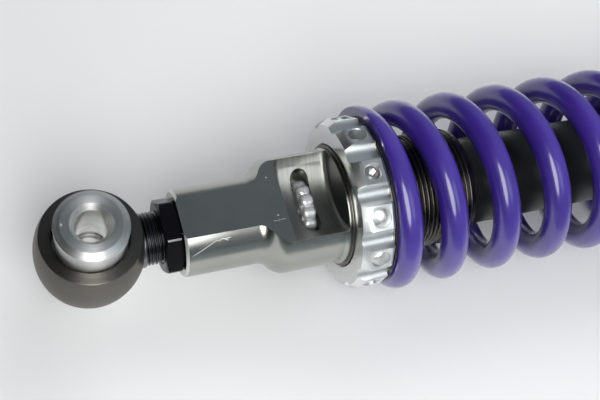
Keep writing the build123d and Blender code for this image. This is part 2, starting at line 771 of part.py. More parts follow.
save("gas_fill_plug", gas_fill_plug())
save("floating_piston", floating_piston())
save("floating_piston_ring", floating_piston_ring())
save_bearing("upper", upper_eye)
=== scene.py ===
import json
import re
from math import cos, pi, radians, sin, sqrt, tan

import bmesh
import bpy
from mathutils import Matrix, Vector


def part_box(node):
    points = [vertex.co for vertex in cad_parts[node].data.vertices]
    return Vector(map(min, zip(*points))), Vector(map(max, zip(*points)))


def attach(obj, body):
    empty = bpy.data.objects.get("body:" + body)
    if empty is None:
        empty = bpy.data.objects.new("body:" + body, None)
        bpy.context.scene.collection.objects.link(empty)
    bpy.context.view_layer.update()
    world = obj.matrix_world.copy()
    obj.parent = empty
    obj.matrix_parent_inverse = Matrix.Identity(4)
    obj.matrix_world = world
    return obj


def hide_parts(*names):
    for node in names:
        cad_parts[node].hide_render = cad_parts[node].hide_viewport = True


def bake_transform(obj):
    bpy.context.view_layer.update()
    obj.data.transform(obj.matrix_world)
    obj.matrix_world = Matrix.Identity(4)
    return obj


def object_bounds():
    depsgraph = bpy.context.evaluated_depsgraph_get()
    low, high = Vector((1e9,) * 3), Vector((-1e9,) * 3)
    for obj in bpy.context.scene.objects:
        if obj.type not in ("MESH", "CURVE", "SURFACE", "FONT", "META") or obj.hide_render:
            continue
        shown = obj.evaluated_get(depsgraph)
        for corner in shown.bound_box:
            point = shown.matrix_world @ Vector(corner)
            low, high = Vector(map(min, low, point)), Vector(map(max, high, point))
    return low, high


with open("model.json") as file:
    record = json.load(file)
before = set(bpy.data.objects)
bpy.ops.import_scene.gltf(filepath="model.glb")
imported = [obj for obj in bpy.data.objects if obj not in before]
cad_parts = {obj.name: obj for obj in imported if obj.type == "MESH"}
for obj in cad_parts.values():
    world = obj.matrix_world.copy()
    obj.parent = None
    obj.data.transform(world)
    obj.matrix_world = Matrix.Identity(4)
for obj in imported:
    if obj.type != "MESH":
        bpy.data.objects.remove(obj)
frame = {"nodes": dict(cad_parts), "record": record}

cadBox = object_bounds()
cadNodes = frame["nodes"]
mm = 0.001
upperEyeX = frame["record"]["mounts"][1]["pos_m"][0] / mm
lowerCentre, upperCentre = (0, 0, 0), (upperEyeX, 0, 0)


def note(text):
    print("shock:", text)


def span(node):
    # x0, x1 and outer radius of a turned CAD piece, in mm
    low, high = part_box(node)
    return low[0] / mm, high[0] / mm, high[1] / mm


# Node helpers, for finishes and geometry alike

class Value:
    # a number in a node tree: arithmetic with it adds math nodes
    def __init__(self, tree, socket):
        self.tree, self.socket = tree, socket

    def to(self, operation, *others):
        return mathNode(self.tree, operation, self, *others)

    def __add__(self, other):
        return self.to("ADD", other)

    def __sub__(self, other):
        return self.to("SUBTRACT", other)

    def __rsub__(self, other):
        return mathNode(self.tree, "SUBTRACT", other, self)

    def __mul__(self, other):
        return self.to("MULTIPLY", other)

    def __truediv__(self, other):
        return self.to("DIVIDE", other)


def addNode(tree, kind, inputs=(), **settings):
    node = tree.nodes.new(kind)
    for name, value in settings.items():
        setattr(node, name, value)
    for key, value in dict(inputs).items():
        feed(tree, node.inputs[key], value)
    return node


def feed(tree, socket, value):
    # a socket or a node's first output is linked, anything else is set
    if isinstance(value, Value):
        value = value.socket
    elif isinstance(value, bpy.types.Node):
        value = value.outputs[0]
    if isinstance(value, bpy.types.NodeSocket):
        tree.links.new(value, socket)
    else:
        socket.default_value = value


def mathNode(tree, operation, *values):
    node = addNode(tree, "ShaderNodeMath", enumerate(values), operation=operation)
    return Value(tree, node.outputs[0])


def joined(tree, x, y, z):
    return addNode(tree, "ShaderNodeCombineXYZ", {"X": x, "Y": y, "Z": z})


def parted(tree, vector):
    return [Value(tree, socket) for socket in addNode(tree, "ShaderNodeSeparateXYZ", {0: vector}).outputs]


def placeVector(tree, centre=lowerCentre):
    coordinates = addNode(tree, "ShaderNodeTexCoord").outputs["Object"]
    return addNode(tree, "ShaderNodeMapping", {"Vector": coordinates, "Location": [-c * mm for c in centre]})


def latheVector(tree, centre, axis, along, around):
    # turning marks: fine along the axis and the radius, long around it
    x, y, z = parted(tree, placeVector(tree, centre))
    main, side, other = (x, y, z) if axis == "X" else (z, x, y)
    radius = (side * side + other * other).to("SQRT") * along
    angle = side.to("ARCTAN2", other).to("ABSOLUTE") * around
    return joined(tree, main * along, radius, angle)


def noise(tree, vector, scale, detail=3.0, roughness=0.55):
    inputs = {"Vector": vector, "Scale": scale, "Detail": detail, "Roughness": roughness}
    return Value(tree, addNode(tree, "ShaderNodeTexNoise", inputs).outputs["Fac"])


def spread(value, low, high, fromLow=0.35, fromHigh=0.65, steps="LINEAR"):
    inputs = {"Value": value, "From Min": fromLow, "From Max": fromHigh, "To Min": low, "To Max": high}
    node = addNode(value.tree, "ShaderNodeMapRange", inputs, interpolation_type=steps)
    return Value(value.tree, node.outputs["Result"])


def blendColour(factor, first, second):
    first, second = ((*colour, 1) if isinstance(colour, tuple) else colour for colour in (first, second))
    inputs = {"Factor": factor, "A": first, "B": second}
    return addNode(factor.tree, "ShaderNodeMix", inputs, data_type="RGBA").outputs["Result"]


def newFinish(name):
    finish = bpy.data.materials.new(name)
    finish.use_nodes = True
    tree = finish.node_tree
    return finish, tree, tree.nodes["Principled BSDF"]


# Looks of the metals and plastics: turned ones have rings, milled ones are stretched one way

grain = {"around": 0.25, "turnedShare": 0.65, "turnedDetail": 4.0, "turnedClouds": 90.0,
         "milledDetail": 5.0, "milledClouds": 70.0, "bumpDepth": 0.05}

looks = {
    "plainAluminium": {"dark": (0.62, 0.62, 0.61), "light": (0.84, 0.84, 0.83), "gloss": (0.40, 0.50),
                       "rings": 2600.0, "bump": 0.04, "sweep": 0.7},
    # painted light: the bores are lighter and glossier than the spacers' aluminium, standing in for light
    # that reaches deep into them
    "borePaintedLight": {"dark": (0.88, 0.88, 0.86), "light": (0.94, 0.94, 0.92), "gloss": (0.22, 0.30),
                      "rings": 1600.0, "bump": 0.02, "axis": "Z"},
    "ringAluminium": {"dark": (0.82, 0.83, 0.82), "light": (0.90, 0.91, 0.90), "gloss": (0.34, 0.42),
                      "rings": 1800.0, "bump": 0.02},
    "ringFacing": {"dark": (0.66, 0.67, 0.66), "light": (0.76, 0.77, 0.76), "gloss": (0.18, 0.24),
                   "rings": 1800.0, "bump": 0.02},
    "collarSteel": {"dark": (0.15, 0.15, 0.145), "light": (0.24, 0.24, 0.235), "gloss": (0.20, 0.28),
                    "rings": 2200.0, "bump": 0.02},
    "eyeGunmetal": {"dark": (0.132, 0.122, 0.106), "light": (0.184, 0.173, 0.156), "gloss": (0.34, 0.42),
                    "rings": 2200.0, "bump": 0.03, "sweep": 0.8, "axis": "Z"},
    "shankBlackOxide": {"dark": (0.030, 0.036, 0.045), "light": (0.075, 0.075, 0.072), "gloss": (0.22, 0.30),
                        "rings": 1500.0, "bump": 0.02},
    "nutBlackOxide": {"dark": (0.0014, 0.0010, 0.0017), "light": (0.0024, 0.0019, 0.0029),
                      "gloss": (0.20, 0.28), "stretch": (300.0, 900.0, 900.0), "lineShare": 0.4, "bump": 0.0,
                      "metal": 0.0, "shine": 0.2},
    "nutWornEdge": {"dark": (0.10, 0.10, 0.10), "light": (0.15, 0.15, 0.15), "gloss": (0.18, 0.26),
                    "stretch": (300.0, 900.0, 900.0), "lineShare": 0.4, "bump": 0.0},
    "tubeBlack": {"dark": (0.0030, 0.0030, 0.0034), "light": (0.0060, 0.0058, 0.0064), "gloss": (0.34, 0.44),
                  "rings": 2400.0, "bump": 0.03, "metal": 0.0},
    "blackAnodised": {"dark": (0.012, 0.012, 0.013), "light": (0.020, 0.0195, 0.021), "gloss": (0.36, 0.46),
                      "rings": 2400.0, "bump": 0.04, "metal": 0.0},
    "sleeveAnodised": {"dark": (0.085, 0.080, 0.070), "light": (0.17, 0.16, 0.145), "gloss": (0.24, 0.32),
                       "rings": 2400.0, "bump": 0.02},
    "turnedSteel": {"dark": (0.60, 0.59, 0.575), "light": (0.76, 0.75, 0.735), "gloss": (0.20, 0.28),
                    "rings": 2600.0, "bump": 0.03},
    "wheelSteel": {"dark": (0.66, 0.67, 0.67), "light": (0.80, 0.81, 0.81), "gloss": (0.26, 0.34),
                   "rings": 600.0, "bump": 0.0, "metal": 0.6},
    "rodChrome": {"dark": (0.74, 0.74, 0.75), "light": (0.82, 0.82, 0.83), "gloss": (0.04, 0.08),
                  "rings": 1200.0, "bump": 0.01},
    "springSteel": {"dark": (0.26, 0.26, 0.27), "light": (0.40, 0.40, 0.40), "gloss": (0.25, 0.36),
                    "rings": 2200.0, "bump": 0.05},
    "sealRubber": {"dark": (0.012, 0.012, 0.012), "light": (0.026, 0.026, 0.026), "gloss": (0.50, 0.68),
                   "rings": 1600.0, "bump": 0.2, "metal": 0.0},
    "bufferFoam": {"dark": (0.030, 0.029, 0.027), "light": (0.070, 0.068, 0.062), "gloss": (0.75, 0.92),
                   "rings": 700.0, "bump": 0.5, "metal": 0.0, "around": 6.0},
    "bushBronze": {"dark": (0.36, 0.22, 0.10), "light": (0.55, 0.36, 0.18), "gloss": (0.25, 0.38),
                   "rings": 2200.0, "bump": 0.1},
    "slideBand": {"dark": (0.060, 0.035, 0.020), "light": (0.11, 0.065, 0.036), "gloss": (0.40, 0.55),
                  "rings": 1800.0, "bump": 0.2, "metal": 0.0},
    "bracketAnodised": {"dark": (0.365, 0.375, 0.345), "light": (0.405, 0.412, 0.380), "gloss": (0.20, 0.24),
                        "stretch": (900.0, 14.0, 900.0), "lineShare": 0.1, "bump": 0.0},
    "scoopMilled": {"dark": (0.32, 0.325, 0.30), "light": (0.46, 0.47, 0.435), "gloss": (0.42, 0.50),
                    "stretch": (1300.0, 22.0, 22.0), "lineShare": 0.9, "bump": 0.06, "sweep": 0.65},
    # painted shade: the trough's end wall keeps milling lines but gets a grey far darker than the bracket's
    # own
    "scoopEndPaintedShade": {"dark": (0.085, 0.085, 0.090), "light": (0.125, 0.125, 0.130), "gloss": (0.30, 0.38),
                       "stretch": (22.0, 1300.0, 22.0), "lineShare": 0.6, "bump": 0.03},
    "bareScratch": {"dark": (0.78, 0.78, 0.77), "light": (0.95, 0.95, 0.94), "gloss": (0.40, 0.55),
                    "stretch": (900.0, 900.0, 900.0), "lineShare": 0.5, "bump": 0.1, "metal": 0.3}}

# the same looks about another axis: look, axis and centre
turnedLooks = {
    "headAnodised": ("bracketAnodised", "X", upperCentre),
    "spacerAluminium": ("plainAluminium", "Z", lowerCentre),
    "upperSpacerAluminium": ("plainAluminium", "Z", upperCentre),
    # painted light in the upper spacers' bores
    "upperBorePaintedLight": ("borePaintedLight", "Z", upperCentre),
    "lowerBearingSteel": ("turnedSteel", "Z", lowerCentre),
    "upperBearingSteel": ("turnedSteel", "Z", upperCentre)}


def metalFinish(name, look, axis, centre):
    # marks of the tool in colour, gloss and height, with a few clouds over them
    finish, tree, shader = newFinish(name)
    if "rings" in look:
        vector = latheVector(tree, centre, axis, look["rings"], look.get("around", grain["around"]))
        marks = noise(tree, vector, 1.0, grain["turnedDetail"])
        cloud = noise(tree, placeVector(tree, centre), grain["turnedClouds"], 4.0)
        share = grain["turnedShare"]
    else:
        place = placeVector(tree, centre)
        lines = addNode(tree, "ShaderNodeMapping", {"Vector": place, "Scale": look["stretch"]})
        marks = noise(tree, lines, 1.0, grain["milledDetail"])
        cloud = noise(tree, placeVector(tree, centre), grain["milledClouds"])
        share = look["lineShare"]
    mixed = marks * share + cloud * (1 - share)
    tint = blendColour(spread(mixed, 0.0, 1.0), look["dark"], look["light"])
    feed(tree, shader.inputs["Base Color"], tint)
    feed(tree, shader.inputs["Roughness"], spread(mixed, *look["gloss"]))
    roughen(tree, shader, marks, look["bump"])
    shader.inputs["Metallic"].default_value = look.get("metal", 1.0)
    shader.inputs["Specular IOR Level"].default_value = look.get("shine", 0.5)
    if "sweep" in look:
        # fine turning marks pull a highlight out across them
        shader.inputs["Anisotropic"].default_value = look["sweep"]
        shader.inputs["Anisotropic Rotation"].default_value = 0.25
        tangent = addNode(tree, "ShaderNodeTangent", direction_type="RADIAL", axis=axis)
        feed(tree, shader.inputs["Tangent"], tangent)
    return finish


def roughen(tree, shader, height, strength):
    bump = {"Strength": strength, "Distance": grain["bumpDepth"] * mm, "Height": height}
    feed(tree, shader.inputs["Normal"], addNode(tree, "ShaderNodeBump", bump))


def springPaint():
    # thick purple powder coat: even colour, a wavy skin and specks of dust
    look = {"deep": (0.038, 0.017, 0.225), "bright": (0.052, 0.024, 0.275), "clouds": 40.0,
            "dust": (0.20, 0.17, 0.42), "dustScale": 900.0, "dustMost": 0.30, "dustFrom": (0.72, 0.80),
            "gloss": (0.30, 0.42), "bump": 0.04, "waves": 420.0, "coatGloss": 0.045, "coatIndex": 1.52}
    finish, tree, shader = newFinish("springPurple")
    place = placeVector(tree)
    tint = blendColour(spread(noise(tree, place, look["clouds"]), 0.0, 1.0), look["deep"], look["bright"])
    dust = noise(tree, place, look["dustScale"], 2.0)
    speck = spread(dust, 0.0, look["dustMost"], *look["dustFrom"])
    feed(tree, shader.inputs["Base Color"], blendColour(speck, tint, look["dust"]))
    feed(tree, shader.inputs["Roughness"], spread(dust, *look["gloss"]))
    roughen(tree, shader, noise(tree, place, look["waves"], 2.0), look["bump"])
    shader.inputs["Coat Weight"].default_value = 1.0
    shader.inputs["Coat Roughness"].default_value = look["coatGloss"]
    shader.inputs["Coat IOR"].default_value = look["coatIndex"]
    return finish


finishes = {name: metalFinish(name, look, look.get("axis", "X"), lowerCentre) for name, look in looks.items()}
for name, (look, axis, centre) in turnedLooks.items():
    finishes[name] = metalFinish(name, looks[look], axis, centre)
finishes["springPurple"] = springPaint()
note(f"{len(finishes)} finishes mixed")


# Mesh helpers

def softOutline(points, steps=5):
    # a point given as (along, radius, round) gets its corner rounded
    result = []
    for index, point in enumerate(points):
        here = Vector(point[:2])
        if len(point) < 3:
            result.append(here)
            continue
        before = Vector(points[index - 1][:2]) - here
        after = Vector(points[(index + 1) % len(points)][:2]) - here
        reach = min(point[2] / tan(before.angle(after) / 2), 0.48 * before.length, 0.48 * after.length)
        first, last = here + before.normalized() * reach, here + after.normalized() * reach
        for step in range(steps + 1):
            t = step / steps
            result.append(first * (1 - t) ** 2 + here * 2 * t * (1 - t) + last * t ** 2)
    return result


def latheMesh(name, outline, axis="X", sides=144, centre=lowerCentre, steps=5):
    # turns a closed (along, radius) outline in mm about its axis
    build = bmesh.new()
    rings = []
    for along, radius in softOutline(outline, steps):
        ring = []
        for step in range(sides):
            angle = 2 * pi * step / sides
            side, up = radius * cos(angle), radius * sin(angle)
            place = (along, side, up) if axis == "X" else (side, up, along)
            ring.append(build.verts.new([(p + c) * mm for p, c in zip(place, centre)]))
        rings.append(ring)
    skin(build, rings)
    bmesh.ops.remove_doubles(build, verts=build.verts, dist=0.0005 * mm)
    bmesh.ops.dissolve_degenerate(build, edges=build.edges, dist=0.0002 * mm)
    # an outline that ends on the axis twice leaves a loose edge along it
    bmesh.ops.delete(build, geom=[edge for edge in build.edges if edge.is_wire], context="EDGES")
    return finished(build, bpy.data.meshes.new(name))


def skin(build, rings):
    # faces from each ring to the next, and from the last to the first
    for index, ring in enumerate(rings):
        bridge(build, ring, rings[(index + 1) % len(rings)])


def bridge(build, ring, following):
    for step in range(len(ring)):
        ahead = (step + 1) % len(ring)
        build.faces.new((ring[step], ring[ahead], following[ahead], following[step]))


def finished(build, mesh):
    bmesh.ops.recalc_face_normals(build, faces=build.faces)
    build.to_mesh(mesh)
    build.free()
    return mesh


def newPiece(name, mesh, finish, angle=28):
    # edges sharper than the angle stay sharp; without a finish the mesh keeps its own
    piece = bpy.data.objects.new(name, mesh)
    bpy.context.scene.collection.objects.link(piece)
    if finish is not None:
        mesh.materials.clear()
        mesh.materials.append(finishes[finish])
    for polygon in mesh.polygons:
        polygon.use_smooth = True
    mesh.set_sharp_from_angle(angle=radians(angle))
    return piece


def seat(piece, body, slot, *replaced):
    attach(piece, body)
    if replaced:
        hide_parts(*replaced)


def paintWhere(mesh, finish, chosen):
    # gives the faces that chosen picks, by their middle in mm, another finish
    mesh.materials.append(finishes[finish])
    last = len(mesh.materials) - 1
    for polygon in mesh.polygons:
        if chosen(*(value / mm for value in polygon.center)):
            polygon.material_index = last


def flatMesh(name, outline, low, high, axis="X"):
    # a prism in mm: the outline lies across the axis
    build = bmesh.new()
    ends = []
    for along in (low, high):
        places = [(along, *point) if axis == "X" else (*point, along) for point in outline]
        ends.append([build.verts.new([p * mm for p in place]) for place in places])
    build.faces.new(ends[0])
    build.faces.new(ends[1])
    bridge(build, *ends)
    return finished(build, bpy.data.meshes.new(name))


def holderOf(mesh):
    holder = bpy.data.objects.new(mesh.name + "Holder", mesh)
    bpy.context.scene.collection.objects.link(holder)
    return holder


def evaluated(holder):
    # the object's mesh with its modifiers on, as a plain mesh
    bpy.context.view_layer.update()
    result = bpy.data.meshes.new_from_object(holder.evaluated_get(bpy.context.evaluated_depsgraph_get()))
    holder.modifiers.clear()
    bpy.data.objects.remove(holder)
    return result


def boolean(mesh, others, operation="DIFFERENCE"):
    # others are cut from, or joined to, the mesh one after the other
    holder = holderOf(mesh)
    tools = [holderOf(other) for other in others]
    for tool in tools:
        cut = holder.modifiers.new("cut", "BOOLEAN")
        cut.operation = operation
        cut.solver = "EXACT"
        cut.object = tool
    result = evaluated(holder)
    for spent in tools:
        bpy.data.objects.remove(spent)
    return result


def merged(mesh, near=0.02):
    # closes the hair-thin slits and slivers that many cuts leave behind
    build = bmesh.new()
    build.from_mesh(mesh)
    bmesh.ops.remove_doubles(build, verts=build.verts, dist=near * mm)
    bmesh.ops.dissolve_degenerate(build, edges=build.edges, dist=near * mm / 2)
    bmesh.ops.holes_fill(build, edges=build.edges)
    return finished(build, mesh)


def edgesBroken(mesh, width):
    # takes the sharpness off the edges, as a file or a deburring tool does
    holder = holderOf(mesh)
    bevel = holder.modifiers.new("edges", "BEVEL")
    bevel.width = width * mm
    bevel.segments = 2
    bevel.limit_method = "ANGLE"
    bevel.angle_limit = radians(30)
    bevel.miter_outer = "MITER_ARC"
    return evaluated(holder)


def strokeMesh(name, strokes, width, proud=0.02, sunk=0.006, narrow=0.35):
    # thin burrs thrown up by a scratch: each stroke is a list of (point, outward direction) in mm
    build = bmesh.new()
    for stroke in strokes:
        rings = []
        last = len(stroke) - 1
        for index, (point, out) in enumerate(stroke):
            place, out = Vector(point), Vector(out).normalized()
            before, after = Vector(stroke[max(index - 1, 0)][0]), Vector(stroke[min(index + 1, last)][0])
            side = (after - before).cross(out).normalized() * width / 2
            taper = narrow if index in (0, last) else 1.0
            wide, foot = side * taper, out * sunk
            corners = (place + wide - foot, place + out * proud, place - wide - foot)
            rings.append([build.verts.new(corner * mm) for corner in corners])
        for ring, following in zip(rings, rings[1:]):
            bridge(build, ring, following)
        build.faces.new(rings[0])
        build.faces.new(rings[-1])
    return finished(build, bpy.data.meshes.new(name))


# Geometry-nodes helpers

def treeSizes(shape, *lengths):
    # a dictionary's lengths in mm as tree inputs in metres: rimBevel becomes Rim Bevel
    return {re.sub("([A-Z])", r" \1", key).title(): shape[key] * mm for key in lengths}


def newTree(name, sizes):
    tree = bpy.data.node_groups.new(name, "GeometryNodeTree")
    tree.interface.new_socket("Geometry", in_out="INPUT", socket_type="NodeSocketGeometry")
    for label, value in sizes.items():
        kind = "NodeSocketInt" if isinstance(value, int) else "NodeSocketFloat"
        tree.interface.new_socket(label, in_out="INPUT", socket_type=kind).default_value = value
    tree.interface.new_socket("Finish", in_out="INPUT", socket_type="NodeSocketMaterial")
    tree.interface.new_socket("Geometry", in_out="OUTPUT", socket_type="NodeSocketGeometry")
    start, end = addNode(tree, "NodeGroupInput"), addNode(tree, "NodeGroupOutput")
    return tree, {socket.name: Value(tree, socket) for socket in start.outputs}, end.inputs


def closeTree(tree, geometry, given, output):
    # every tree ends in real geometry with its finish
    real = addNode(tree, "GeometryNodeRealizeInstances", {0: geometry})
    paint = addNode(tree, "GeometryNodeSetMaterial", {"Geometry": real, "Material": given["Finish"]})
    feed(tree, output["Geometry"], paint)
    return tree


def meshFromTree(tree, sizes, finish, mesh):
    holder = holderOf(mesh)
    modifier = holder.modifiers.new("shape", "NODES")
    modifier.node_group = tree
    values = {**sizes, "Finish": finishes[finish]}
    for item in tree.interface.items_tree:
        if item.in_out == "INPUT" and item.name in values:
            modifier[item.identifier] = values[item.name]
    return evaluated(holder)


def pointLine(tree, count):
    # a curve of evenly numbered points, and the number of each
    line = addNode(tree, "GeometryNodeCurvePrimitiveLine")
    points = addNode(tree, "GeometryNodeResampleCurve", {"Curve": line, "Count": count})
    return points, Value(tree, addNode(tree, "GeometryNodeInputIndex").outputs[0])


def moved(tree, geometry, **place):
    return addNode(tree, "GeometryNodeSetPosition", {"Geometry": geometry, **place})


def laid(tree, geometry, **change):
    return addNode(tree, "GeometryNodeTransform", {"Geometry": geometry, **change})


def wireAlong(tree, curve, section):
    inputs = {"Curve": curve, "Profile Curve": section, "Fill Caps": True}
    return addNode(tree, "GeometryNodeCurveToMesh", inputs)


def threadTree():
    # one helical ridge of trapezoid section, swept along a helix about Z and then laid along X
    tree, given, output = newTree("helicalThread", {
        "Root Radius": 0.024, "Pitch": 0.002, "Depth": 0.001, "Start": 0.1, "End": 0.16, "Steps": 2000,
        "Root Share": 0.86, "Crest Share": 0.28, "Sink": 0.0002})
    pitch, root, start, sink = given["Pitch"], given["Root Radius"], given["Start"], given["Sink"]
    points, index = pointLine(tree, given["Steps"])
    along = index / (given["Steps"] - 1.0) * (given["End"] - start)
    angle = along / pitch * (2 * pi)
    circling = joined(tree, angle.to("COSINE") * root, angle.to("SINE") * root, start + along)
    helix = moved(tree, points, Position=circling)
    upright = addNode(tree, "GeometryNodeSetCurveNormal", {"Curve": helix}, mode="Z_UP")
    height = given["Depth"] + sink
    section = addNode(tree, "GeometryNodeCurvePrimitiveQuadrilateral", mode="TRAPEZOID", inputs={
        "Bottom Width": pitch * given["Root Share"], "Top Width": pitch * given["Crest Share"],
        "Offset": 0.0, "Height": height})
    lift = joined(tree, height * 0.5 - sink, 0.0, 0.0)
    standing = laid(tree, section, Translation=lift, Rotation=(0, 0, -pi / 2))
    ridge = laid(tree, wireAlong(tree, upright, standing), Rotation=(pi / 2, 0, pi / 2))
    both = addNode(tree, "GeometryNodeJoinGeometry", {0: ridge})
    feed(tree, both.inputs[0], given["Geometry"])
    return closeTree(tree, both, given, output)


threadRidge = threadTree()


def threaded(core, finish, shape, start, end):
    # the core with a thread wound on it between two places on the axis
    root = shape["crest"] - shape["depth"]
    turns = (end - start) / shape["pitch"]
    sizes = {"Root Radius": root * mm, "Pitch": shape["pitch"] * mm, "Depth": shape["depth"] * mm,
             "Start": start * mm, "End": end * mm, "Steps": round(turns * shape["stepsPerTurn"])}
    return meshFromTree(threadRidge, sizes, finish, core)


# Lower and upper eyes

eyeShape = {"halfWidth": 13.7, "faceRadius": 20.3, "middleRadius": 22.4, "recessRadius": 15.4,
            "recessRound": 0.4, "housingRadius": 15.0, "housingHalf": 6.3, "edgeRound": 0.8, "crownSteps": 14}


def crownOutline(shape):
    # the crowned barrel: a circle arc through face, middle and face
    rise = shape["middleRadius"] - shape["faceRadius"]
    bend = (shape["halfWidth"] ** 2 + rise ** 2) / (2 * rise)
    half = shape["halfWidth"] - shape["edgeRound"]
    points = []
    for step in range(shape["crownSteps"] + 1):
        z = half - 2 * half * step / shape["crownSteps"]
        points.append((z, shape["middleRadius"] - bend + sqrt(bend ** 2 - z ** 2)))
    return points


def eyeMesh(name, centre):
    half, recess, housing = eyeShape["halfWidth"], eyeShape["recessRadius"], eyeShape["housingRadius"]
    face, edge, step = eyeShape["faceRadius"] - 0.05, eyeShape["edgeRound"], eyeShape["housingHalf"]
    soft = eyeShape["recessRound"]
    return latheMesh(name, [
        (half, recess, soft), (half, face, edge), *crownOutline(eyeShape), (-half, face, edge),
        (-half, recess, soft), (-step, recess), (-step, housing), (step, housing), (step, recess)],
        "Z", 192, centre)


def lowerEye():
    shank = {"start": 16.2, "collarRadius": 11.5, "collarEnd": 21.3, "collarBevel": 0.45, "crest": 10.9,
             "pitch": 1.5, "depth": 0.85, "threadStart": 21.6, "threadStop": 1.2, "endBevel": 0.6,
             "stepsPerTurn": 96}
    piece = newPiece("lowerEyeBarrel", eyeMesh("eyeBarrel", lowerCentre), "eyeGunmetal")
    seat(piece, "lower_eye", "black_steel", "rod_end_eye")
    end = span("rod_end_eye")[1]
    root, bevel = shank["crest"] - shank["depth"], shank["endBevel"]
    collar, collarEnd, collarBevel = shank["collarRadius"], shank["collarEnd"], shank["collarBevel"]
    core = latheMesh("shankCore", [
        (shank["start"], 0), (shank["start"], collar), (collarEnd - collarBevel, collar, 0.1),
        (collarEnd, collar - collarBevel, 0.1), (collarEnd, root), (end - bevel, root), (end, root - bevel),
        (end, 0)])
    rod = threaded(core, "shankBlackOxide", shank, shank["threadStart"], end - shank["threadStop"])
    piece = newPiece("lowerEyeShank", rod, None, 75)
    paintWhere(rod, "collarSteel", lambda x, y, z: x < collarEnd - 0.01)
    seat(piece, "lower_eye", "black_steel")


def spacers():
    shape = {"headRadius": 14.87, "footRadius": 14.0, "faceRadius": 12.16, "boltRadius": 6.6,
             "mouthRadius": 8.6, "mouthDepth": 2.7, "bevelDepth": 1.9, "reliefStart": 7.02, "reliefEnd": 8.22,
             "reliefDepth": 3, "spigotRadius": 8.45, "spigotEnd": 3.0, "spigotBevel": 0.5}
    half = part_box("lower_spacer_top")[1][2] / mm
    bolt, end = shape["boltRadius"], shape["spigotEnd"]
    bevel, spigot = shape["spigotBevel"], shape["spigotRadius"]
    outline = softOutline([
        (end + bevel, bolt), (end, bolt + bevel), (end, spigot, 0.3), (shape["reliefStart"], spigot),
        (shape["reliefStart"], shape["footRadius"] - shape["reliefDepth"]),
        (shape["reliefEnd"], shape["footRadius"], 0.3),
        (half - shape["bevelDepth"], shape["headRadius"], 0.25), (half, shape["faceRadius"], 0.2),
        (half, shape["mouthRadius"], 0.15), (half - shape["mouthDepth"], bolt, 0.5)])
    for place, centre, finish, litBoreFinish in (
            ("lower", lowerCentre, "spacerAluminium", "borePaintedLight"),
            ("upper", upperCentre, "upperSpacerAluminium", "upperBorePaintedLight")):
        for side, flip in (("top", 1), ("bottom", -1)):
            turned = [(flip * along, radius) for along, radius in outline]
            mesh = latheMesh(place + side.capitalize() + "Spacer", turned, "Z", 160, centre)
            piece = newPiece(mesh.name, mesh, finish, 22)
            # painted light: the bore faces get the lighter bore finish
            paintWhere(mesh, litBoreFinish, lambda x, y, z: (x - centre[0]) ** 2 + y ** 2 < (bolt + 0.1) ** 2)
            seat(piece, place + "_spacers", "bare_aluminium", f"{place}_spacer_{side}")


def flatStroke(height, *places):
    # a stroke drawn on a level face
    return [((x, y, height), (0, 0, 1)) for x, y in places]


def spacerNick():
    # a small crossed dent in the lower eye's top spacer
    nick = {"x": -11.42, "y": 1.6, "reach": 0.8, "slant": 0.2, "otherSlant": 0.15, "width": 0.26}
    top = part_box("lower_spacer_top")[1][2] / mm
    x, y, reach, slant, other = nick["x"], nick["y"], nick["reach"], nick["slant"], nick["otherSlant"]
    strokes = [flatStroke(top, (x - reach, y + slant), (x, y), (x + reach, y - slant)),
               flatStroke(top, (x + other, y + reach), (x, y), (x - other, y - reach))]
    piece = newPiece("spacerNick", strokeMesh("spacerNick", strokes, nick["width"]), "bareScratch")
    seat(piece, "lower_spacers", "bare_aluminium")


lowerEye()
spacers()
spacerNick()
note("eyes and spacers turned")


# Lock nut

def lockNut():
    shape = {"acrossFlats": 28.8, "bore": 10.98, "boreBevel": 0.6, "faceBevel": 1.0, "cornerFlat": 0.85,
             "cornerRound": 0.2}
    x0, x1, _ = span("lock_nut")
    flat, corner = shape["acrossFlats"] / 2, shape["acrossFlats"] / sqrt(3)
    outline = []
    for k in range(6):
        # the corners are worn to narrow flats, which catch the light
        out = Vector((cos(radians(60 * k)), sin(radians(60 * k))))
        along = Vector((-out.y, out.x)) * shape["cornerFlat"] / 2
        worn = out * (corner - along.length * tan(pi / 6))
        outline += [(*(worn - along), shape["cornerRound"]), (*(worn + along), shape["cornerRound"])]
    body = flatMesh("nutHexagon", softOutline(outline, 3), x0, x1)
    face, bore, mouth = shape["faceBevel"], shape["bore"], shape["boreBevel"]
    limit = latheMesh("nutLimit", [
        (x0, bore + mouth), (x0, flat - 0.3, 0.2), (x0 + face, corner + 0.05), (x1 - face, corner + 0.05),
        (x1, flat - 0.3, 0.2), (x1, bore + mouth), (x1 - mouth, bore), (x0 + mouth, bore)])
    body = boolean(body, [limit], "INTERSECT")
    piece = newPiece("lockNut", body, "nutBlackOxide", 20)
    paintWhere(body, "nutWornEdge",
               lambda x, y, z: x0 + face < x < x1 - face and sqrt(y ** 2 + z ** 2) > corner - 0.6)
    seat(piece, "lock_nut", "black_steel", "lock_nut")


lockNut()
note("lock nut cut")


# Shaft bracket

bracket = {"start": 35.4, "neckRadius": 18.4, "neckLength": 30.6, "shoulderLength": 12.0, "shoulderSteps": 28,
           "bodyRadius": 24.4, "lipRadius": 25.2, "end": 103.7, "spigotRadius": 22.5, "spigotBore": 17.5,
           "spigotLength": 6.0, "threadBore": 11.0, "threadDepth": 23, "drillDepth": 28, "boreBevel": 0.8,
           "adjusterStart": 80.0, "adjusterRadius": 3.55, "rodRadius": 7.02, "rodDepth": 7.2,
           "flatHeight": 15.9, "scoopStart": 79.3, "scoopEnd": 102.7, "scoopFloor": 7.3, "scoopCorner": 2.5,
           "slotCentre": 90.3, "slotLength": 29.0, "slotWidth": 8.0, "scoopFrom": 23.0, "scoopSide": 7.0,
           "wornLength": 1.1, "wornFrom": 15}


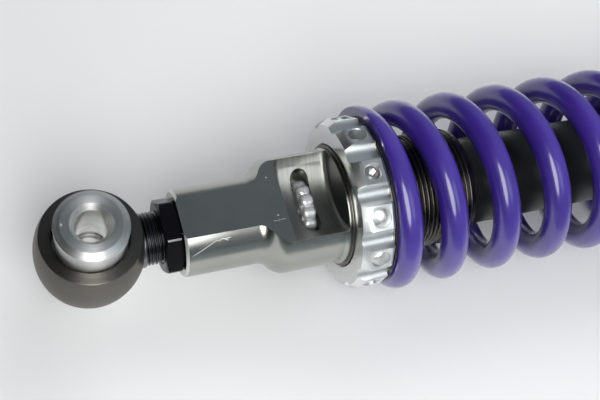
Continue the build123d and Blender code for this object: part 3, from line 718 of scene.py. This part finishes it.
def bracketOutline(shape):
    # one closed (x, radius) outline: neck, S-shaped shoulder, body, lip, spigot and the bores
    start, neck, body = shape["start"], shape["neckRadius"], shape["bodyRadius"]
    neckEnd = start + shape["neckLength"]
    length, rise = shape["shoulderLength"], body - neck
    bend = ((length / 2) ** 2 + (rise / 2) ** 2) / rise
    shoulder = []
    for step in range(1, shape["shoulderSteps"]):
        x = length * step / shape["shoulderSteps"]
        near = min(x, length - x)
        lift = bend - sqrt(bend ** 2 - near ** 2)
        shoulder.append((neckEnd + x, neck + lift if x < length / 2 else body - lift))
    end, lip, spigot, bore = shape["end"], shape["lipRadius"], shape["spigotRadius"], shape["spigotBore"]
    spigotEnd, rodEnd = end + shape["spigotLength"], end - shape["rodDepth"]
    thread, adjuster, bevel = shape["threadBore"], shape["adjusterRadius"], shape["boreBevel"]
    return [
        (start, thread + bevel), (start, neck - 1.0, 0.2), (start + 1.0, neck, 0.3), (neckEnd, neck),
        *shoulder, (neckEnd + length, body), (end - 2.5, body, 0.5), (end - 1.0, lip, 0.2), (end, lip, 0.25),
        (end, spigot), (spigotEnd, spigot), (spigotEnd, bore), (end, bore), (end, shape["rodRadius"]),
        (rodEnd, shape["rodRadius"]), (rodEnd, adjuster), (shape["adjusterStart"], adjuster),
        (shape["adjusterStart"], 0), (start + shape["drillDepth"], 0), (start + shape["threadDepth"], thread),
        (start + bevel, thread)]


def troughMesh(shape, side):
    # the cutter's disc with its rounded edge
    low, high = shape["scoopStart"], shape["scoopEnd"]
    radius, corner = shape["bodyRadius"], shape["scoopCorner"]
    outline = [(low, 0), (low, radius, corner), (high, radius, corner), (high, 0)]
    return latheMesh("scoopCutter", outline, "X", 256, (0, 0, side * (shape["scoopFloor"] + radius)), 8)


def slotMesh(shape):
    half, wide = shape["slotLength"] / 2, shape["slotWidth"] / 2
    outline = []
    for end, turn in ((1, 0), (-1, pi)):
        for step in range(17):
            angle = turn + pi * step / 16
            outline.append((shape["slotCentre"] + wide * cos(angle), end * (half - wide) + wide * sin(angle)))
    return flatMesh("slotCutter", outline, -30, 30, "Z")


def inScoop(x, y, z):
    # faces of the two troughs, which keep the cutter's lines
    radius = bracket["bodyRadius"]
    fromAxis = sqrt(y ** 2 + (abs(z) - bracket["scoopFloor"] - radius) ** 2)
    inLength = bracket["scoopStart"] < x < bracket["scoopEnd"]
    return inLength and bracket["scoopFrom"] < fromAxis < radius + 0.05 and abs(z) > bracket["scoopSide"]


def inScoopEnd(x, y, z):
    # the flat wall at the trough's far end, whose milled grey is darkened as painted shade
    inside = y ** 2 + z ** 2 < bracket["lipRadius"] ** 2
    return abs(x - bracket["scoopEnd"]) < 0.05 and inside and abs(z) > bracket["scoopSide"]


def atNeckEnd(x, y, z):
    # the faced end and its chamfer, where the colour is worn off
    return x < bracket["start"] + bracket["wornLength"] and y ** 2 + z ** 2 > bracket["wornFrom"] ** 2


def shaftBracket():
    body = latheMesh("bracketBar", bracketOutline(bracket), "X", 288)
    cutters = []
    for side in (1, -1):
        near, far = side * bracket["flatHeight"], side * 45
        outline = [(-40, near), (40, near), (40, far), (-40, far)]
        cutters.append(flatMesh("flatCutter", outline, 30, bracket["scoopStart"] + 1.5))
        cutters.append(troughMesh(bracket, side))
    cutters.append(slotMesh(bracket))
    body = boolean(body, cutters)
    piece = newPiece("shaftBracket", body, "bracketAnodised", 20)
    paintWhere(body, "scoopMilled", inScoop)
    # painted shade on the trough's end wall
    paintWhere(body, "scoopEndPaintedShade", inScoopEnd)
    paintWhere(body, "plainAluminium", atNeckEnd)
    seat(piece, "shaft_bracket", "grey_anodised", "shaft_bracket")


def bracketMarks():
    # two light punch marks and a scribed cross on the upper flat, and a long scratch on the neck
    marks = {"dots": [(74.7, 11.1), (75.1, -6.2)], "dotReach": 0.45, "crossWidth": 0.40,
             "cross": [((72.7, -8.45), (74.5, -8.45)), ((75.4, -8.35), (77.7, -8.3)),
                       ((74.95, -7.7), (74.95, -8.9))],
             "scratchWidth": 0.26, "scratchSteps": 8}
    top, reach, radius = bracket["flatHeight"], marks["dotReach"], bracket["neckRadius"]
    strokes = [flatStroke(top, *ends) for ends in marks["cross"]]
    for x, y in marks["dots"]:
        strokes.append(flatStroke(top, (x - reach, y), (x + reach, y)))
        strokes.append(flatStroke(top, (x, y - reach), (x, y + reach)))
    piece = newPiece("bracketMarks", strokeMesh("bracketMarks", strokes, marks["crossWidth"]), "bareScratch")
    seat(piece, "shaft_bracket", "grey_anodised")
    # x and angle of each scratch on the neck
    paths = [((37.6, 145.0), (48.3, 128.3)), ((48.2, 128.6), (49.6, 130.6)), ((50.6, 128.6), (53.9, 128.0)),
             ((51.3, 129.2), (52.9, 131.4)), ((49.4, 128.9), (50.9, 127.6))]
    strokes = []
    for first, last in paths:
        stroke = []
        for step in range(marks["scratchSteps"] + 1):
            x, angle = Vector(first).lerp(Vector(last), step / marks["scratchSteps"])
            out = (0, cos(radians(angle)), sin(radians(angle)))
            stroke.append(((x, radius * out[1], radius * out[2]), out))
        strokes.append(stroke)
    piece = newPiece("neckScratch", strokeMesh("neckScratch", strokes, marks["scratchWidth"]), "bareScratch")
    seat(piece, "shaft_bracket", "grey_anodised")


shaftBracket()
bracketMarks()
note("shaft bracket milled")


# Rebound wheel

def reboundWheel():
    shape = {"lobes": 13, "radius": 12.8, "lobeHeight": 2.7, "lobeWidth": 3.15, "lobeLength": 3.0,
             "firstLobe": 90.5, "halfWidth": 2.9, "floorRadius": 9.8, "bore": 3.52, "stepsPerLobe": 44,
             "across": 36}
    middle = sum(span("adjuster_wheel")[:2]) / 2
    hub, floor = shape["radius"] - shape["lobeHeight"], shape["floorRadius"]
    half, count, across = shape["halfWidth"], shape["stepsPerLobe"], shape["across"]
    around = count * shape["lobes"]

    def rim(along, off):
        # egg-shaped lobes that run into one another: straight along the top, round in outline
        far = abs(along / shape["lobeLength"])
        tall, broad = shape["lobeHeight"] ** 2 * (1 - far ** 6), shape["lobeWidth"] ** 2 * (1 - far ** 2.5)
        a, b = cos(off) ** 2 / tall + sin(off) ** 2 / broad, -2 * cos(off) * hub / tall
        inside = b * b - 4 * a * (hub ** 2 / tall - 1)
        return max(floor, (sqrt(inside) - b) / (2 * a)) if inside > 0 else floor

    build = bmesh.new()
    rings = []
    levels = [-half] + [half * sin(pi * (k / across - 0.5)) for k in range(across + 1)] + [half]
    for level, along in enumerate(levels):
        ring = []
        for step in range(around):
            off = 2 * pi * (step % count - count / 2) / around
            radius = shape["bore"] if level in (0, len(levels) - 1) else rim(along, off)
            angle = radians(shape["firstLobe"]) + 2 * pi * (step - count / 2) / around
            place = (middle + along) * mm, radius * cos(angle) * mm, radius * sin(angle) * mm
            ring.append(build.verts.new(place))
        rings.append(ring)
    skin(build, rings)
    mesh = finished(build, bpy.data.meshes.new("reboundWheel"))
    seat(newPiece("reboundWheel", mesh, "wheelSteel", 40), "rebound_adjuster", "zinc_steel", "adjuster_wheel")


reboundWheel()
note("rebound wheel shaped")


# Threaded sleeve

def threadedSleeve():
    shape = {"crest": 25.0, "pitch": 2.0, "depth": 1.05, "stepsPerTurn": 120, "bore": 20.6, "lip": 0.9,
             "lipRadius": 26.4, "spigotBore": 22.52, "counterbore": 6.3, "plainEnds": 1.6}
    x0, x1, _ = span("threaded_sleeve")
    root, lip, bore = shape["crest"] - shape["depth"], x0 + shape["lip"], shape["bore"]
    core = latheMesh("sleeveCore", [
        (x0, shape["spigotBore"]), (x0, shape["lipRadius"], 0.3), (lip, shape["lipRadius"], 0.3), (lip, root),
        (x1 - 0.4, root), (x1, root - 0.4), (x1, bore, 0.4), (x0 + shape["counterbore"], bore),
        (x0 + shape["counterbore"], shape["spigotBore"])], "X", 160)
    mesh = threaded(core, "sleeveAnodised", shape, lip + shape["plainEnds"], x1 - shape["plainEnds"])
    seat(newPiece("threadedSleeve", mesh, None, 75), "shaft_bracket", "black_anodised", "threaded_sleeve")


threadedSleeve()
note("sleeve threaded")


# Preload ring

ring = {"lands": 12, "firstLand": 5.0, "landHeight": 36.8, "faceRadius": 35.0, "bore": 25.1, "mouth": 27.0,
        "grooveRadius": 4.6, "grooveDepth": 3.2, "grooveLength": 30.0, "holeRadius": 4.0, "holeDepth": 5.5,
        "holePlace": 7.9, "rimBevel": 0.3, "screwLand": 3, "screwRadius": 3.02, "screwRim": 1.05,
        "screwSink": 0.95, "screwLength": 13.6, "frontSlope": (4.4, 1.1), "backSlope": (1.1, 0.5),
        "cornerRise": ((2.4, -0.5), (4.6, 0.7)), "cornerEnd": 4.8, "edgeBreak": 0.16}


def radialTools(tree, given, tool, radius, offset, chosen):
    # copies of a tool at every land, pointing outwards, at a radius from the axis
    points, index = pointLine(tree, given["Count"])
    angle = (index + offset) / given["Count"] * (2 * pi) + given["First Angle"]
    circling = joined(tree, given["Middle"], angle.to("COSINE") * radius, angle.to("SINE") * radius)
    inputs = {"Points": moved(tree, points, Position=circling), "Instance": tool,
              "Rotation": joined(tree, angle - pi / 2, 0.0, 0.0)}
    if chosen is not None:
        inputs["Selection"] = chosen(index)
    copies = addNode(tree, "GeometryNodeInstanceOnPoints", inputs)
    return addNode(tree, "GeometryNodeRealizeInstances", {0: copies})


def ringTree(sizes):
    # cuts a groove between each two lands and a blind hole in each land, except the one with the screw
    tools = {"drillSides": 61, "coneSides": 64, "grooveSides": 96, "drillPoint": 0.6, "above": 2.0,
             "inside": 0.1}
    tree, given, output = newTree("ringCutting", sizes)
    land, rim = given["Land Height"], given["Rim Bevel"]
    above, inside = tools["above"] * mm, tools["inside"] * mm

    def drill(radius, depth):
        # a shank with a pointed end and its top above the land; the cone has other sides, so no edges meet
        shank = addNode(tree, "GeometryNodeMeshCylinder", fill_type="TRIANGLE_FAN", inputs={
            "Vertices": tools["drillSides"], "Radius": radius, "Depth": depth + above})
        x, y, z = parted(tree, addNode(tree, "GeometryNodeInputPosition"))
        centre = (x * x + y * y).to("LESS_THAN", 1e-8) * z.to("LESS_THAN", 0.0)
        reach = centre * radius * -tools["drillPoint"]
        return moved(tree, shank, Offset=joined(tree, 0.0, 0.0, (above - depth) * 0.5 + reach))

    def countersink(radius, depth):
        # a 45 degree cone: its small end lies inside the hole, its wide end above the land
        cone = addNode(tree, "GeometryNodeMeshCone", {
            "Vertices": tools["coneSides"], "Radius Bottom": radius - inside,
            "Radius Top": radius + depth * 2.0, "Depth": depth * 3.0 + inside})
        return laid(tree, cone, Translation=joined(tree, 0.0, 0.0, depth * -1.0 - inside))

    def screwed(index):
        return index.to("COMPARE", given["Screw Land"], 0.1)

    def plain(index):
        return 1.0 - screwed(index)

    groove = laid(tree, addNode(tree, "GeometryNodeMeshCylinder", {
        "Vertices": tools["grooveSides"], "Radius": given["Groove Radius"], "Depth": given["Groove Length"]}),
        Rotation=(0, pi / 2, 0))
    grooveHeight = land + (given["Groove Radius"] - given["Groove Depth"])
    cutting = given["Geometry"]
    for tool, radius, offset, chosen in (
            (groove, grooveHeight, 0.5, None),
            (countersink(given["Hole Radius"], rim), land, 0.0, plain),
            (drill(given["Hole Radius"], given["Hole Depth"]), land, 0.0, plain),
            (countersink(given["Screw Radius"], given["Screw Rim"]), land, 0.0, screwed),
            (drill(given["Screw Radius"], given["Screw Length"]), land, 0.0, screwed)):
        copies = radialTools(tree, given, tool, radius, offset, chosen)
        cutting = addNode(tree, "GeometryNodeMeshBoolean", {"Mesh 1": cutting, "Mesh 2": copies},
                          operation="DIFFERENCE", solver="EXACT")
    return closeTree(tree, cutting, given, output)


def tapered(mesh, middle, front, back):
    # widens or narrows a prism at its two ends
    for vertex in mesh.vertices:
        share = front if vertex.co.x < middle * mm else back
        vertex.co.y *= share
        vertex.co.z *= share
    return mesh


def preloadRing():
    x0, x1, _ = span("preload_ring")
    height, lands, bore, mouth = ring["landHeight"], ring["lands"], ring["bore"], ring["mouth"]
    corner, length, middle = height / cos(pi / lands), x1 - x0, (x0 + x1) / 2
    turns = [radians(ring["firstLand"] + 360 / lands * (land + 0.5)) for land in range(lands)]
    polygon = [(corner * cos(angle), corner * sin(angle)) for angle in turns]

    def prism(name, beyond):
        # each is longer than the ring by another amount, because ends that coincide spoil the cuts
        return flatMesh(name, polygon, x0 - beyond, x1 + beyond)

    def slopes(reach, fall, beyond):
        # a land's slope: how far it reaches and how much it falls; the sizes of a prism's near and far end
        return (1 - fall * (beyond / reach + 1) / height, 1 + fall * ((length + beyond) / reach - 1) / height)

    front, frontFar = slopes(*ring["frontSlope"], 1.0)
    back, backFar = slopes(*ring["backSlope"], 1.5)
    sloping = tapered(prism("ringFront", 1.0), middle, front, frontFar)
    falling = tapered(prism("ringBack", 1.5), middle, backFar, back)
    limit = latheMesh("ringLimit", [
        (x0, mouth, 0.2), (x0, ring["faceRadius"], 0.3),
        *((x0 + along, height + rise) for along, rise in ring["cornerRise"]),
        (x0 + ring["cornerEnd"], 2 * corner), (x1, 2 * corner), (x1, bore), (x0 + mouth - bore, bore)],
        "X", 288)
    blank = boolean(prism("ringPrism", 2.0), [sloping, falling, limit], "INTERSECT")
    sizes = {"Count": lands, "First Angle": radians(ring["firstLand"]),
             "Middle": (x0 + ring["holePlace"]) * mm, "Screw Land": ring["screwLand"],
             **treeSizes(ring, "landHeight", "holeRadius", "holeDepth", "rimBevel", "grooveRadius",
                         "grooveDepth", "grooveLength", "screwRadius", "screwRim", "screwLength")}
    body = meshFromTree(ringTree(sizes), sizes, "ringAluminium", blank)
    body = edgesBroken(merged(body), ring["edgeBreak"])
    piece = newPiece("preloadRing", body, "ringAluminium", 20)
    paintWhere(body, "ringFacing", lambda x, y, z: x < x0 + 0.1 and y ** 2 + z ** 2 < ring["faceRadius"] ** 2)
    seat(piece, "preload_ring", "bare_aluminium", "preload_ring")


def ringSetScrew():
    # grub screw with a hexagon socket, set a little below its land
    shape = {"radius": 2.95, "bevel": 0.55, "foot": 27.2, "socketFlats": 3.0, "socketDepth": 2.6,
             "socketTurn": 12, "mouthDepth": 0.35}
    top, radius, bevel = ring["landHeight"] - ring["screwSink"], shape["radius"], shape["bevel"]
    body = latheMesh("grubScrew", [
        (shape["foot"], 0), (shape["foot"], radius), (top - bevel, radius, 0.1), (top, radius - bevel, 0.1),
        (top, 0)], "X", 72)
    corner, mouth = shape["socketFlats"] / sqrt(3), shape["mouthDepth"]
    turns = [radians(60 * k + shape["socketTurn"]) for k in range(6)]
    hexagon = [(corner * cos(angle), corner * sin(angle)) for angle in turns]
    socket = flatMesh("screwSocket", hexagon, top - shape["socketDepth"], top + 1)
    funnel = latheMesh("screwMouth", [
        (top - mouth, 0), (top - mouth, corner - mouth), (top + 0.3, corner + 0.3), (top + 0.3, 0)], "X", 48)
    body = boolean(body, [socket, funnel])
    angle = radians(ring["firstLand"] + 360 / ring["lands"] * ring["screwLand"])
    middle = (span("preload_ring")[0] + ring["holePlace"]) * mm
    outwards = Matrix.Translation((middle, 0, 0)) @ Matrix.Rotation(pi / 2, 4, "Z")
    body.transform(Matrix.Rotation(angle, 4, "X") @ outwards)
    seat(newPiece("ringSetScrew", body, "turnedSteel", 24), "preload_ring", "zinc_steel", "ring_set_screw")


preloadRing()
ringSetScrew()
note("preload ring cut")


# Washer, spring seats and tube

def plainTurned(name, node, outline, finish, body, slot):
    seat(newPiece(name, latheMesh(name, outline, "X", 160), finish, 24), body, slot, node)


def seats():
    shape = {"washerBore": 26, "flange": 0.8, "spigotRadius": 28.37, "spigotLength": 5, "bevel": 1,
             "lowerBore": 25.6, "upperBore": 19.22, "rimBevel": 3}
    spigot, bevel, rim = shape["spigotRadius"], shape["bevel"], shape["rimBevel"]
    x0, x1, radius = span("thrust_washer")
    bore = shape["washerBore"]
    plainTurned("thrustWasher", "thrust_washer", [
        (x0, bore), (x0, radius, 0.1), (x1, radius, 0.1), (x1, bore)],
        "springSteel", "spring_seat", "spring_steel")
    x0, x1, radius = span("lower_spring_seat")
    flange, bore = x0 + shape["flange"], shape["lowerBore"]
    plainTurned("lowerSpringSeat", "lower_spring_seat", [
        (x0, bore), (x0, radius, 0.2), (flange, radius, 0.2), (flange, spigot), (x1 - bevel, spigot, 0.3),
        (x1, spigot - bevel), (x1, bore)], "blackAnodised", "spring_seat", "black_anodised")
    x0, x1, radius = span("upper_spring_seat")
    flange, bore = x0 + shape["spigotLength"], shape["upperBore"]
    plainTurned("upperSpringSeat", "upper_spring_seat", [
        (x0, bore), (x0, spigot - bevel), (x0 + bevel, spigot, 0.3), (flange, spigot), (flange, radius, 0.4),
        (x1 - rim, radius, 0.4), (x1, radius - rim, 0.4), (x1, bore)],
        "blackAnodised", "damper", "black_anodised")


def tube():
    shape = {"bore": 17.0, "mouth": 17.6, "groove": 17.7, "grooveSpan": (1.2, 2.5), "bevel": 0.5,
             "clipGroove": 0.7, "clipWidth": 1.3}
    x0, x1, radius = span("damper_tube")
    bore, mouth, groove, bevel = shape["bore"], shape["mouth"], shape["groove"], shape["bevel"]
    near, far = (x0 + along for along in shape["grooveSpan"])
    clip, floor = span("seat_clip")[0] - 0.05, radius - shape["clipGroove"]
    clipEnd = clip + shape["clipWidth"]
    plainTurned("damperTube", "damper_tube", [
        (x0, mouth), (x0, radius - bevel), (x0 + bevel, radius, 0.2), (clip, radius), (clip, floor),
        (clipEnd, floor), (clipEnd, radius), (x1, radius, 0.2), (x1, bore),
        (far, bore), (far, groove), (near, groove), (near, mouth)], "tubeBlack", "damper", "black_anodised")


seats()
tube()
note("seats and tube turned")


# Main spring

coil = {"meanRadius": 34.9, "wireRadius": 5.93, "turns": 7.75, "tipAngle": 255.0, "tipSink": 3.3,
        "closedTurns": 0.764, "easingTurns": 0.5, "closedPitch": 12.96, "stepsPerTurn": 72, "aroundWire": 36}


def springTree(sizes):
    # the wire's centre line climbs slowly at both ends and evenly between, then gets its round section
    tree, given, output = newTree("coilSpring", sizes)
    start, end, sink, turns = given["Start"], given["End"], given["Tip Sink"], given["Turns"]
    closedTurns, easingTurns = given["Closed Turns"], given["Easing Turns"]
    closedPitch = given["Closed Pitch"]
    points, index = pointLine(tree, given["Steps"])
    turn = index / (given["Steps"] - 1.0) * turns
    back = turns - turn
    near = turn.to("MINIMUM", back)
    closed = near.to("MINIMUM", closedTurns)
    beyond = (near - closedTurns).to("MAXIMUM", 0.0)
    easing = beyond.to("MINIMUM", easingTurns)
    free = (beyond - easingTurns).to("MAXIMUM", 0.0)
    slowTurns = closedTurns * 2.0 + easingTurns
    pitch = (end - start + sink * 2.0 - slowTurns * closedPitch) / (turns - slowTurns)
    bend = easing * easing / (easingTurns * 2.0)
    climb = (closed + easing) * closedPitch + (pitch - closedPitch) * bend + free * pitch
    fromStart, fromEnd = start - sink + climb, end + sink - climb
    x = fromStart + turn.to("GREATER_THAN", back) * (fromEnd - fromStart)
    angle, radius = turn * (2 * pi) + given["Tip Angle"], given["Mean Radius"]
    circling = joined(tree, x, angle.to("COSINE") * radius, angle.to("SINE") * radius)
    keep = addNode(tree, "GeometryNodeStoreNamedAttribute", data_type="FLOAT", domain="POINT", inputs={
        "Geometry": moved(tree, points, Position=circling), "Name": "coilTurn", "Value": turn})
    section = addNode(tree, "GeometryNodeCurvePrimitiveCircle", mode="RADIUS", inputs={
        "Radius": given["Wire Radius"], "Resolution": given["Around"]})
    # grinding: nothing stands beyond the two end faces
    wire = wireAlong(tree, keep, section)
    x, y, z = parted(tree, addNode(tree, "GeometryNodeInputPosition"))
    flat = x.to("MAXIMUM", start).to("MINIMUM", end)
    return closeTree(tree, moved(tree, wire, Position=joined(tree, flat, y, z)), given, output)


def mainSpring():
    x0, x1, _ = span("main_spring")
    dead, live = coil["closedTurns"], coil["turns"] - 2 * coil["closedTurns"]
    sizes = {"Turns": coil["turns"], "Tip Angle": radians(coil["tipAngle"]), "Start": x0 * mm, "End": x1 * mm,
             "Closed Turns": dead, "Easing Turns": coil["easingTurns"],
             "Steps": round(coil["turns"] * coil["stepsPerTurn"]) + 1, "Around": coil["aroundWire"],
             **treeSizes(coil, "meanRadius", "wireRadius", "tipSink", "closedPitch")}
    mesh = meshFromTree(springTree(sizes), sizes, "springPurple", bpy.data.meshes.new("springWire"))
    mesh.attributes.remove(mesh.attributes["coilTurn"])
    piece = newPiece("mainSpring", mesh, None, 40)
    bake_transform(piece)
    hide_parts("main_spring")


mainSpring()
note("main spring wound")


# Upper eye and end cap

def upperHead():
    shape = {"shoulder": 8.0, "neckRadius": 15.0, "neckReach": 16.2, "neckSlope": 3, "plugLength": 10.0,
             "plugRadius": 16.98, "plugBevel": 0.8, "groove": 1.6, "grooveSpan": (3.5, 6.5),
             "fillRadius": 3.05, "fillDepth": 6}
    tubeEnd, radius = span("damper_tube")[1:]
    plug, shoulder = tubeEnd - shape["plugLength"], tubeEnd + shape["shoulder"]
    near, far = (plug + along for along in shape["grooveSpan"])
    eye = eyeMesh("upperEyeBarrel", upperCentre)
    outer, bevel, neck = shape["plugRadius"], shape["plugBevel"], shape["neckRadius"]
    groove, reach = outer - shape["groove"], upperEyeX - shape["neckReach"]
    cap = latheMesh("headNeck", [
        (plug, 0), (plug, outer - bevel), (plug + bevel, outer), (near, outer), (near, groove), (far, groove),
        (far, outer), (tubeEnd, outer), (tubeEnd, radius, 0.3), (shoulder, radius, 0.6),
        (shoulder + shape["neckSlope"], neck, 0.8), (reach, neck), (reach, 0)], "X", 160)
    body = boolean(cap, [eye], "UNION")
    low, high, hole = radius - shape["fillDepth"], radius + 2, shape["fillRadius"]
    drill = latheMesh("fillDrill", [(low, 0), (low, hole), (high, hole), (high, 0)], "Z", 64,
                      (tubeEnd + shape["shoulder"] / 2, 0, 0))
    body = boolean(body, [drill])
    seat(newPiece("upperHead", body, "headAnodised", 24), "damper", "grey_anodised", "damper_head")


upperHead()
note("upper head milled")


# Finishes of the CAD pieces that stay

keptFinishes = {
    "lowerBearingSteel": ["lower_bearing_race", "lower_bearing_ball"],
    "upperBearingSteel": ["upper_bearing_race", "upper_bearing_ball"],
    "turnedSteel": ["adjuster_shaft", "detent_ball", "piston_nut", "gas_fill_plug"],
    "springSteel": ["lower_bearing_clips", "upper_bearing_clips", "detent_spring", "rebound_shims",
                    "compression_shims", "gland_clip", "seat_clip"],
    "plainAluminium": ["piston", "seal_head", "floating_piston"],
    "sealRubber": ["top_out_bumper", "seal_head_o_ring", "rod_wiper", "oil_seal", "head_o_ring",
                   "floating_piston_ring"],
    "slideBand": ["set_screw_pad", "piston_band"],
    "rodChrome": ["piston_rod"], "bufferFoam": ["bump_stop"], "bushBronze": ["rod_bush"]}
for finish, nodes in keptFinishes.items():
    for node in nodes:
        mesh = cadNodes[node].data
        mesh.materials.clear()
        mesh.materials.append(finishes[finish])
note("CAD pieces finished")


# Floor, lights and camera

studio = {"floorSize": 6.0, "floorDrop": 0.05, "middle": (0.12, 0, 0),
          "keyPlace": (-0.02, -0.32, 0.42), "keyAim": (0.0, -0.64, 0.77), "keySize": (0.34, 0.58),
          "keyStrength": 6.0, "keyTint": (1, 1, 1),
          "wingPlace": (0.36, -0.32, 0.42), "wingSize": (0.30, 0.44), "wingStrength": 1.3,
          "wingTint": (0.9, 1.0, 1.08), "panelFade": 0.72,
          "frontPlace": (0.5, -1.3, 1.0), "frontSize": 1.5, "frontPower": 7.0,
          "sidePlace": (0.6, -0.3, 0.6), "sideSize": 0.5, "sidePower": 1.6,
          "backPlace": (0.46, 0.45, 0.6), "backSize": 0.6, "backPower": 3.4,
          "paperDark": (0.80, 0.80, 0.80), "paperLight": (0.84, 0.84, 0.84),
          "skyDark": (0.020, 0.020, 0.020), "skyLight": (0.205, 0.235, 0.262), "skyFade": (-0.35, 0.28),
          "cardDark": (0.36, 0.415, 0.43), "cardLight": (0.41, 0.47, 0.49), "cardPlace": -0.195,
          "cardSpan": (-1.2, 1.6), "cardTop": 0.03}


def flatCard(name, corners, finish):
    mesh = bpy.data.meshes.new(name)
    mesh.from_pydata(corners, [], [(0, 1, 2, 3)])
    mesh.materials.append(finish)
    card = bpy.data.objects.new(name, mesh)
    bpy.context.scene.collection.objects.link(card)
    return card


def paperFloor(height):
    finish, tree, shader = newFinish("paperFloor")
    cloud = noise(tree, placeVector(tree), 6.0)
    feed(tree, shader.inputs["Base Color"], blendColour(cloud, studio["paperDark"], studio["paperLight"]))
    feed(tree, shader.inputs["Roughness"], spread(cloud, 0.7, 0.8))
    shader.inputs["Specular IOR Level"].default_value = 0.2
    half = studio["floorSize"] / 2
    flatCard("floor", [(x * half, y * half, height) for x, y in ((-1, -1), (1, -1), (1, 1), (-1, 1))], finish)


def reflectionOnly(card):
    # seen only in the metal's gloss: neither in the picture nor as shade on the floor
    card.visible_camera = False
    card.visible_diffuse = False
    card.visible_shadow = False
    card.visible_transmission = False


def darkCard(foot):
    # the darker room beyond the edge of the paper
    finish, tree, shader = newFinish("darkCard")
    cloud = noise(tree, placeVector(tree), 3.0)
    feed(tree, shader.inputs["Base Color"], blendColour(cloud, studio["cardDark"], studio["cardLight"]))
    shader.inputs["Roughness"].default_value = 0.9
    y, top, (left, right) = studio["cardPlace"], studio["cardTop"], studio["cardSpan"]
    corners = [(left, y, foot), (right, y, foot), (right, y, top), (left, y, top)]
    reflectionOnly(flatCard("darkCard", corners, finish))


def softPanel(name):
    # an oval softbox whose light fades towards its rim
    glow = bpy.data.materials.new(name + "PanelGlow")
    glow.use_nodes = True
    tree = glow.node_tree
    tree.nodes.remove(tree.nodes["Principled BSDF"])
    x, y, _ = parted(tree, addNode(tree, "ShaderNodeTexCoord").outputs["Object"])
    wide, tall = (side / 2 for side in studio[name + "Size"])
    x, y = x / wide, y / tall
    fade = spread((x * x + y * y).to("SQRT"), 1.0, 0.0, studio["panelFade"], 1.0, "SMOOTHSTEP")
    light = addNode(tree, "ShaderNodeEmission", {
        "Color": (*studio[name + "Tint"], 1), "Strength": fade * studio[name + "Strength"]})
    feed(tree, tree.nodes["Material Output"].inputs["Surface"], light)
    corners = [(x * wide, y * tall, 0) for x, y in ((-1, -1), (1, -1), (1, 1), (-1, 1))]
    panel = flatCard(name + "Panel", corners, glow)
    panel.location = studio[name + "Place"]
    panel.rotation_euler = Vector(studio["keyAim"]).to_track_quat("Z", "Y").to_euler()
    panel.visible_camera = False
    panel.visible_shadow = False
    return panel


def softbox(name):
    # lifts the paper and the shadows without showing in the metal
    lamp = bpy.data.lights.new(name + "Fill", "AREA")
    lamp.shape = "RECTANGLE"
    lamp.size = lamp.size_y = studio[name + "Size"]
    lamp.energy = studio[name + "Power"]
    holder = bpy.data.objects.new(name + "Fill", lamp)
    holder.location = studio[name + "Place"]
    aim = Vector(studio["middle"]) - Vector(studio[name + "Place"])
    holder.rotation_euler = aim.to_track_quat("-Z", "Y").to_euler()
    holder.visible_glossy = False
    bpy.context.scene.collection.objects.link(holder)


def room():
    # a dim room, darker on the left and brighter and bluer on the right
    sky = bpy.data.worlds.new("studio")
    sky.use_nodes = True
    bpy.context.scene.world = sky
    tree = sky.node_tree
    x = parted(tree, addNode(tree, "ShaderNodeTexCoord").outputs["Generated"])[0]
    tint = blendColour(spread(x, 0.0, 1.0, *studio["skyFade"]), studio["skyDark"], studio["skyLight"])
    feed(tree, tree.nodes["Background"].inputs["Color"], tint)
    tree.nodes["Background"].inputs["Strength"].default_value = 1.0


def photoCamera():
    # solved from circles and edges of the real part
    view = {"place": (-0.0463, -0.15906, 0.40835), "turn": (25.155, -11.931, -16.240), "lens": 64.55}
    camera = bpy.data.cameras.new("photoCamera")
    camera.lens = view["lens"]
    camera.sensor_width = 36
    camera.clip_start = 0.01
    holder = bpy.data.objects.new("photoCamera", camera)
    holder.location = view["place"]
    holder.rotation_euler = [radians(angle) for angle in view["turn"]]
    bpy.context.scene.collection.objects.link(holder)
    bpy.context.scene.camera = holder


floorHeight = cadBox[0][2] - studio["floorDrop"] * mm
paperFloor(floorHeight)
darkCard(floorHeight)
softPanel("key")
reflectionOnly(softPanel("wing"))
for fill in ("front", "side", "back"):
    softbox(fill)
room()
photoCamera()
bpy.context.scene.view_settings.view_transform = "Standard"
note("studio lit")
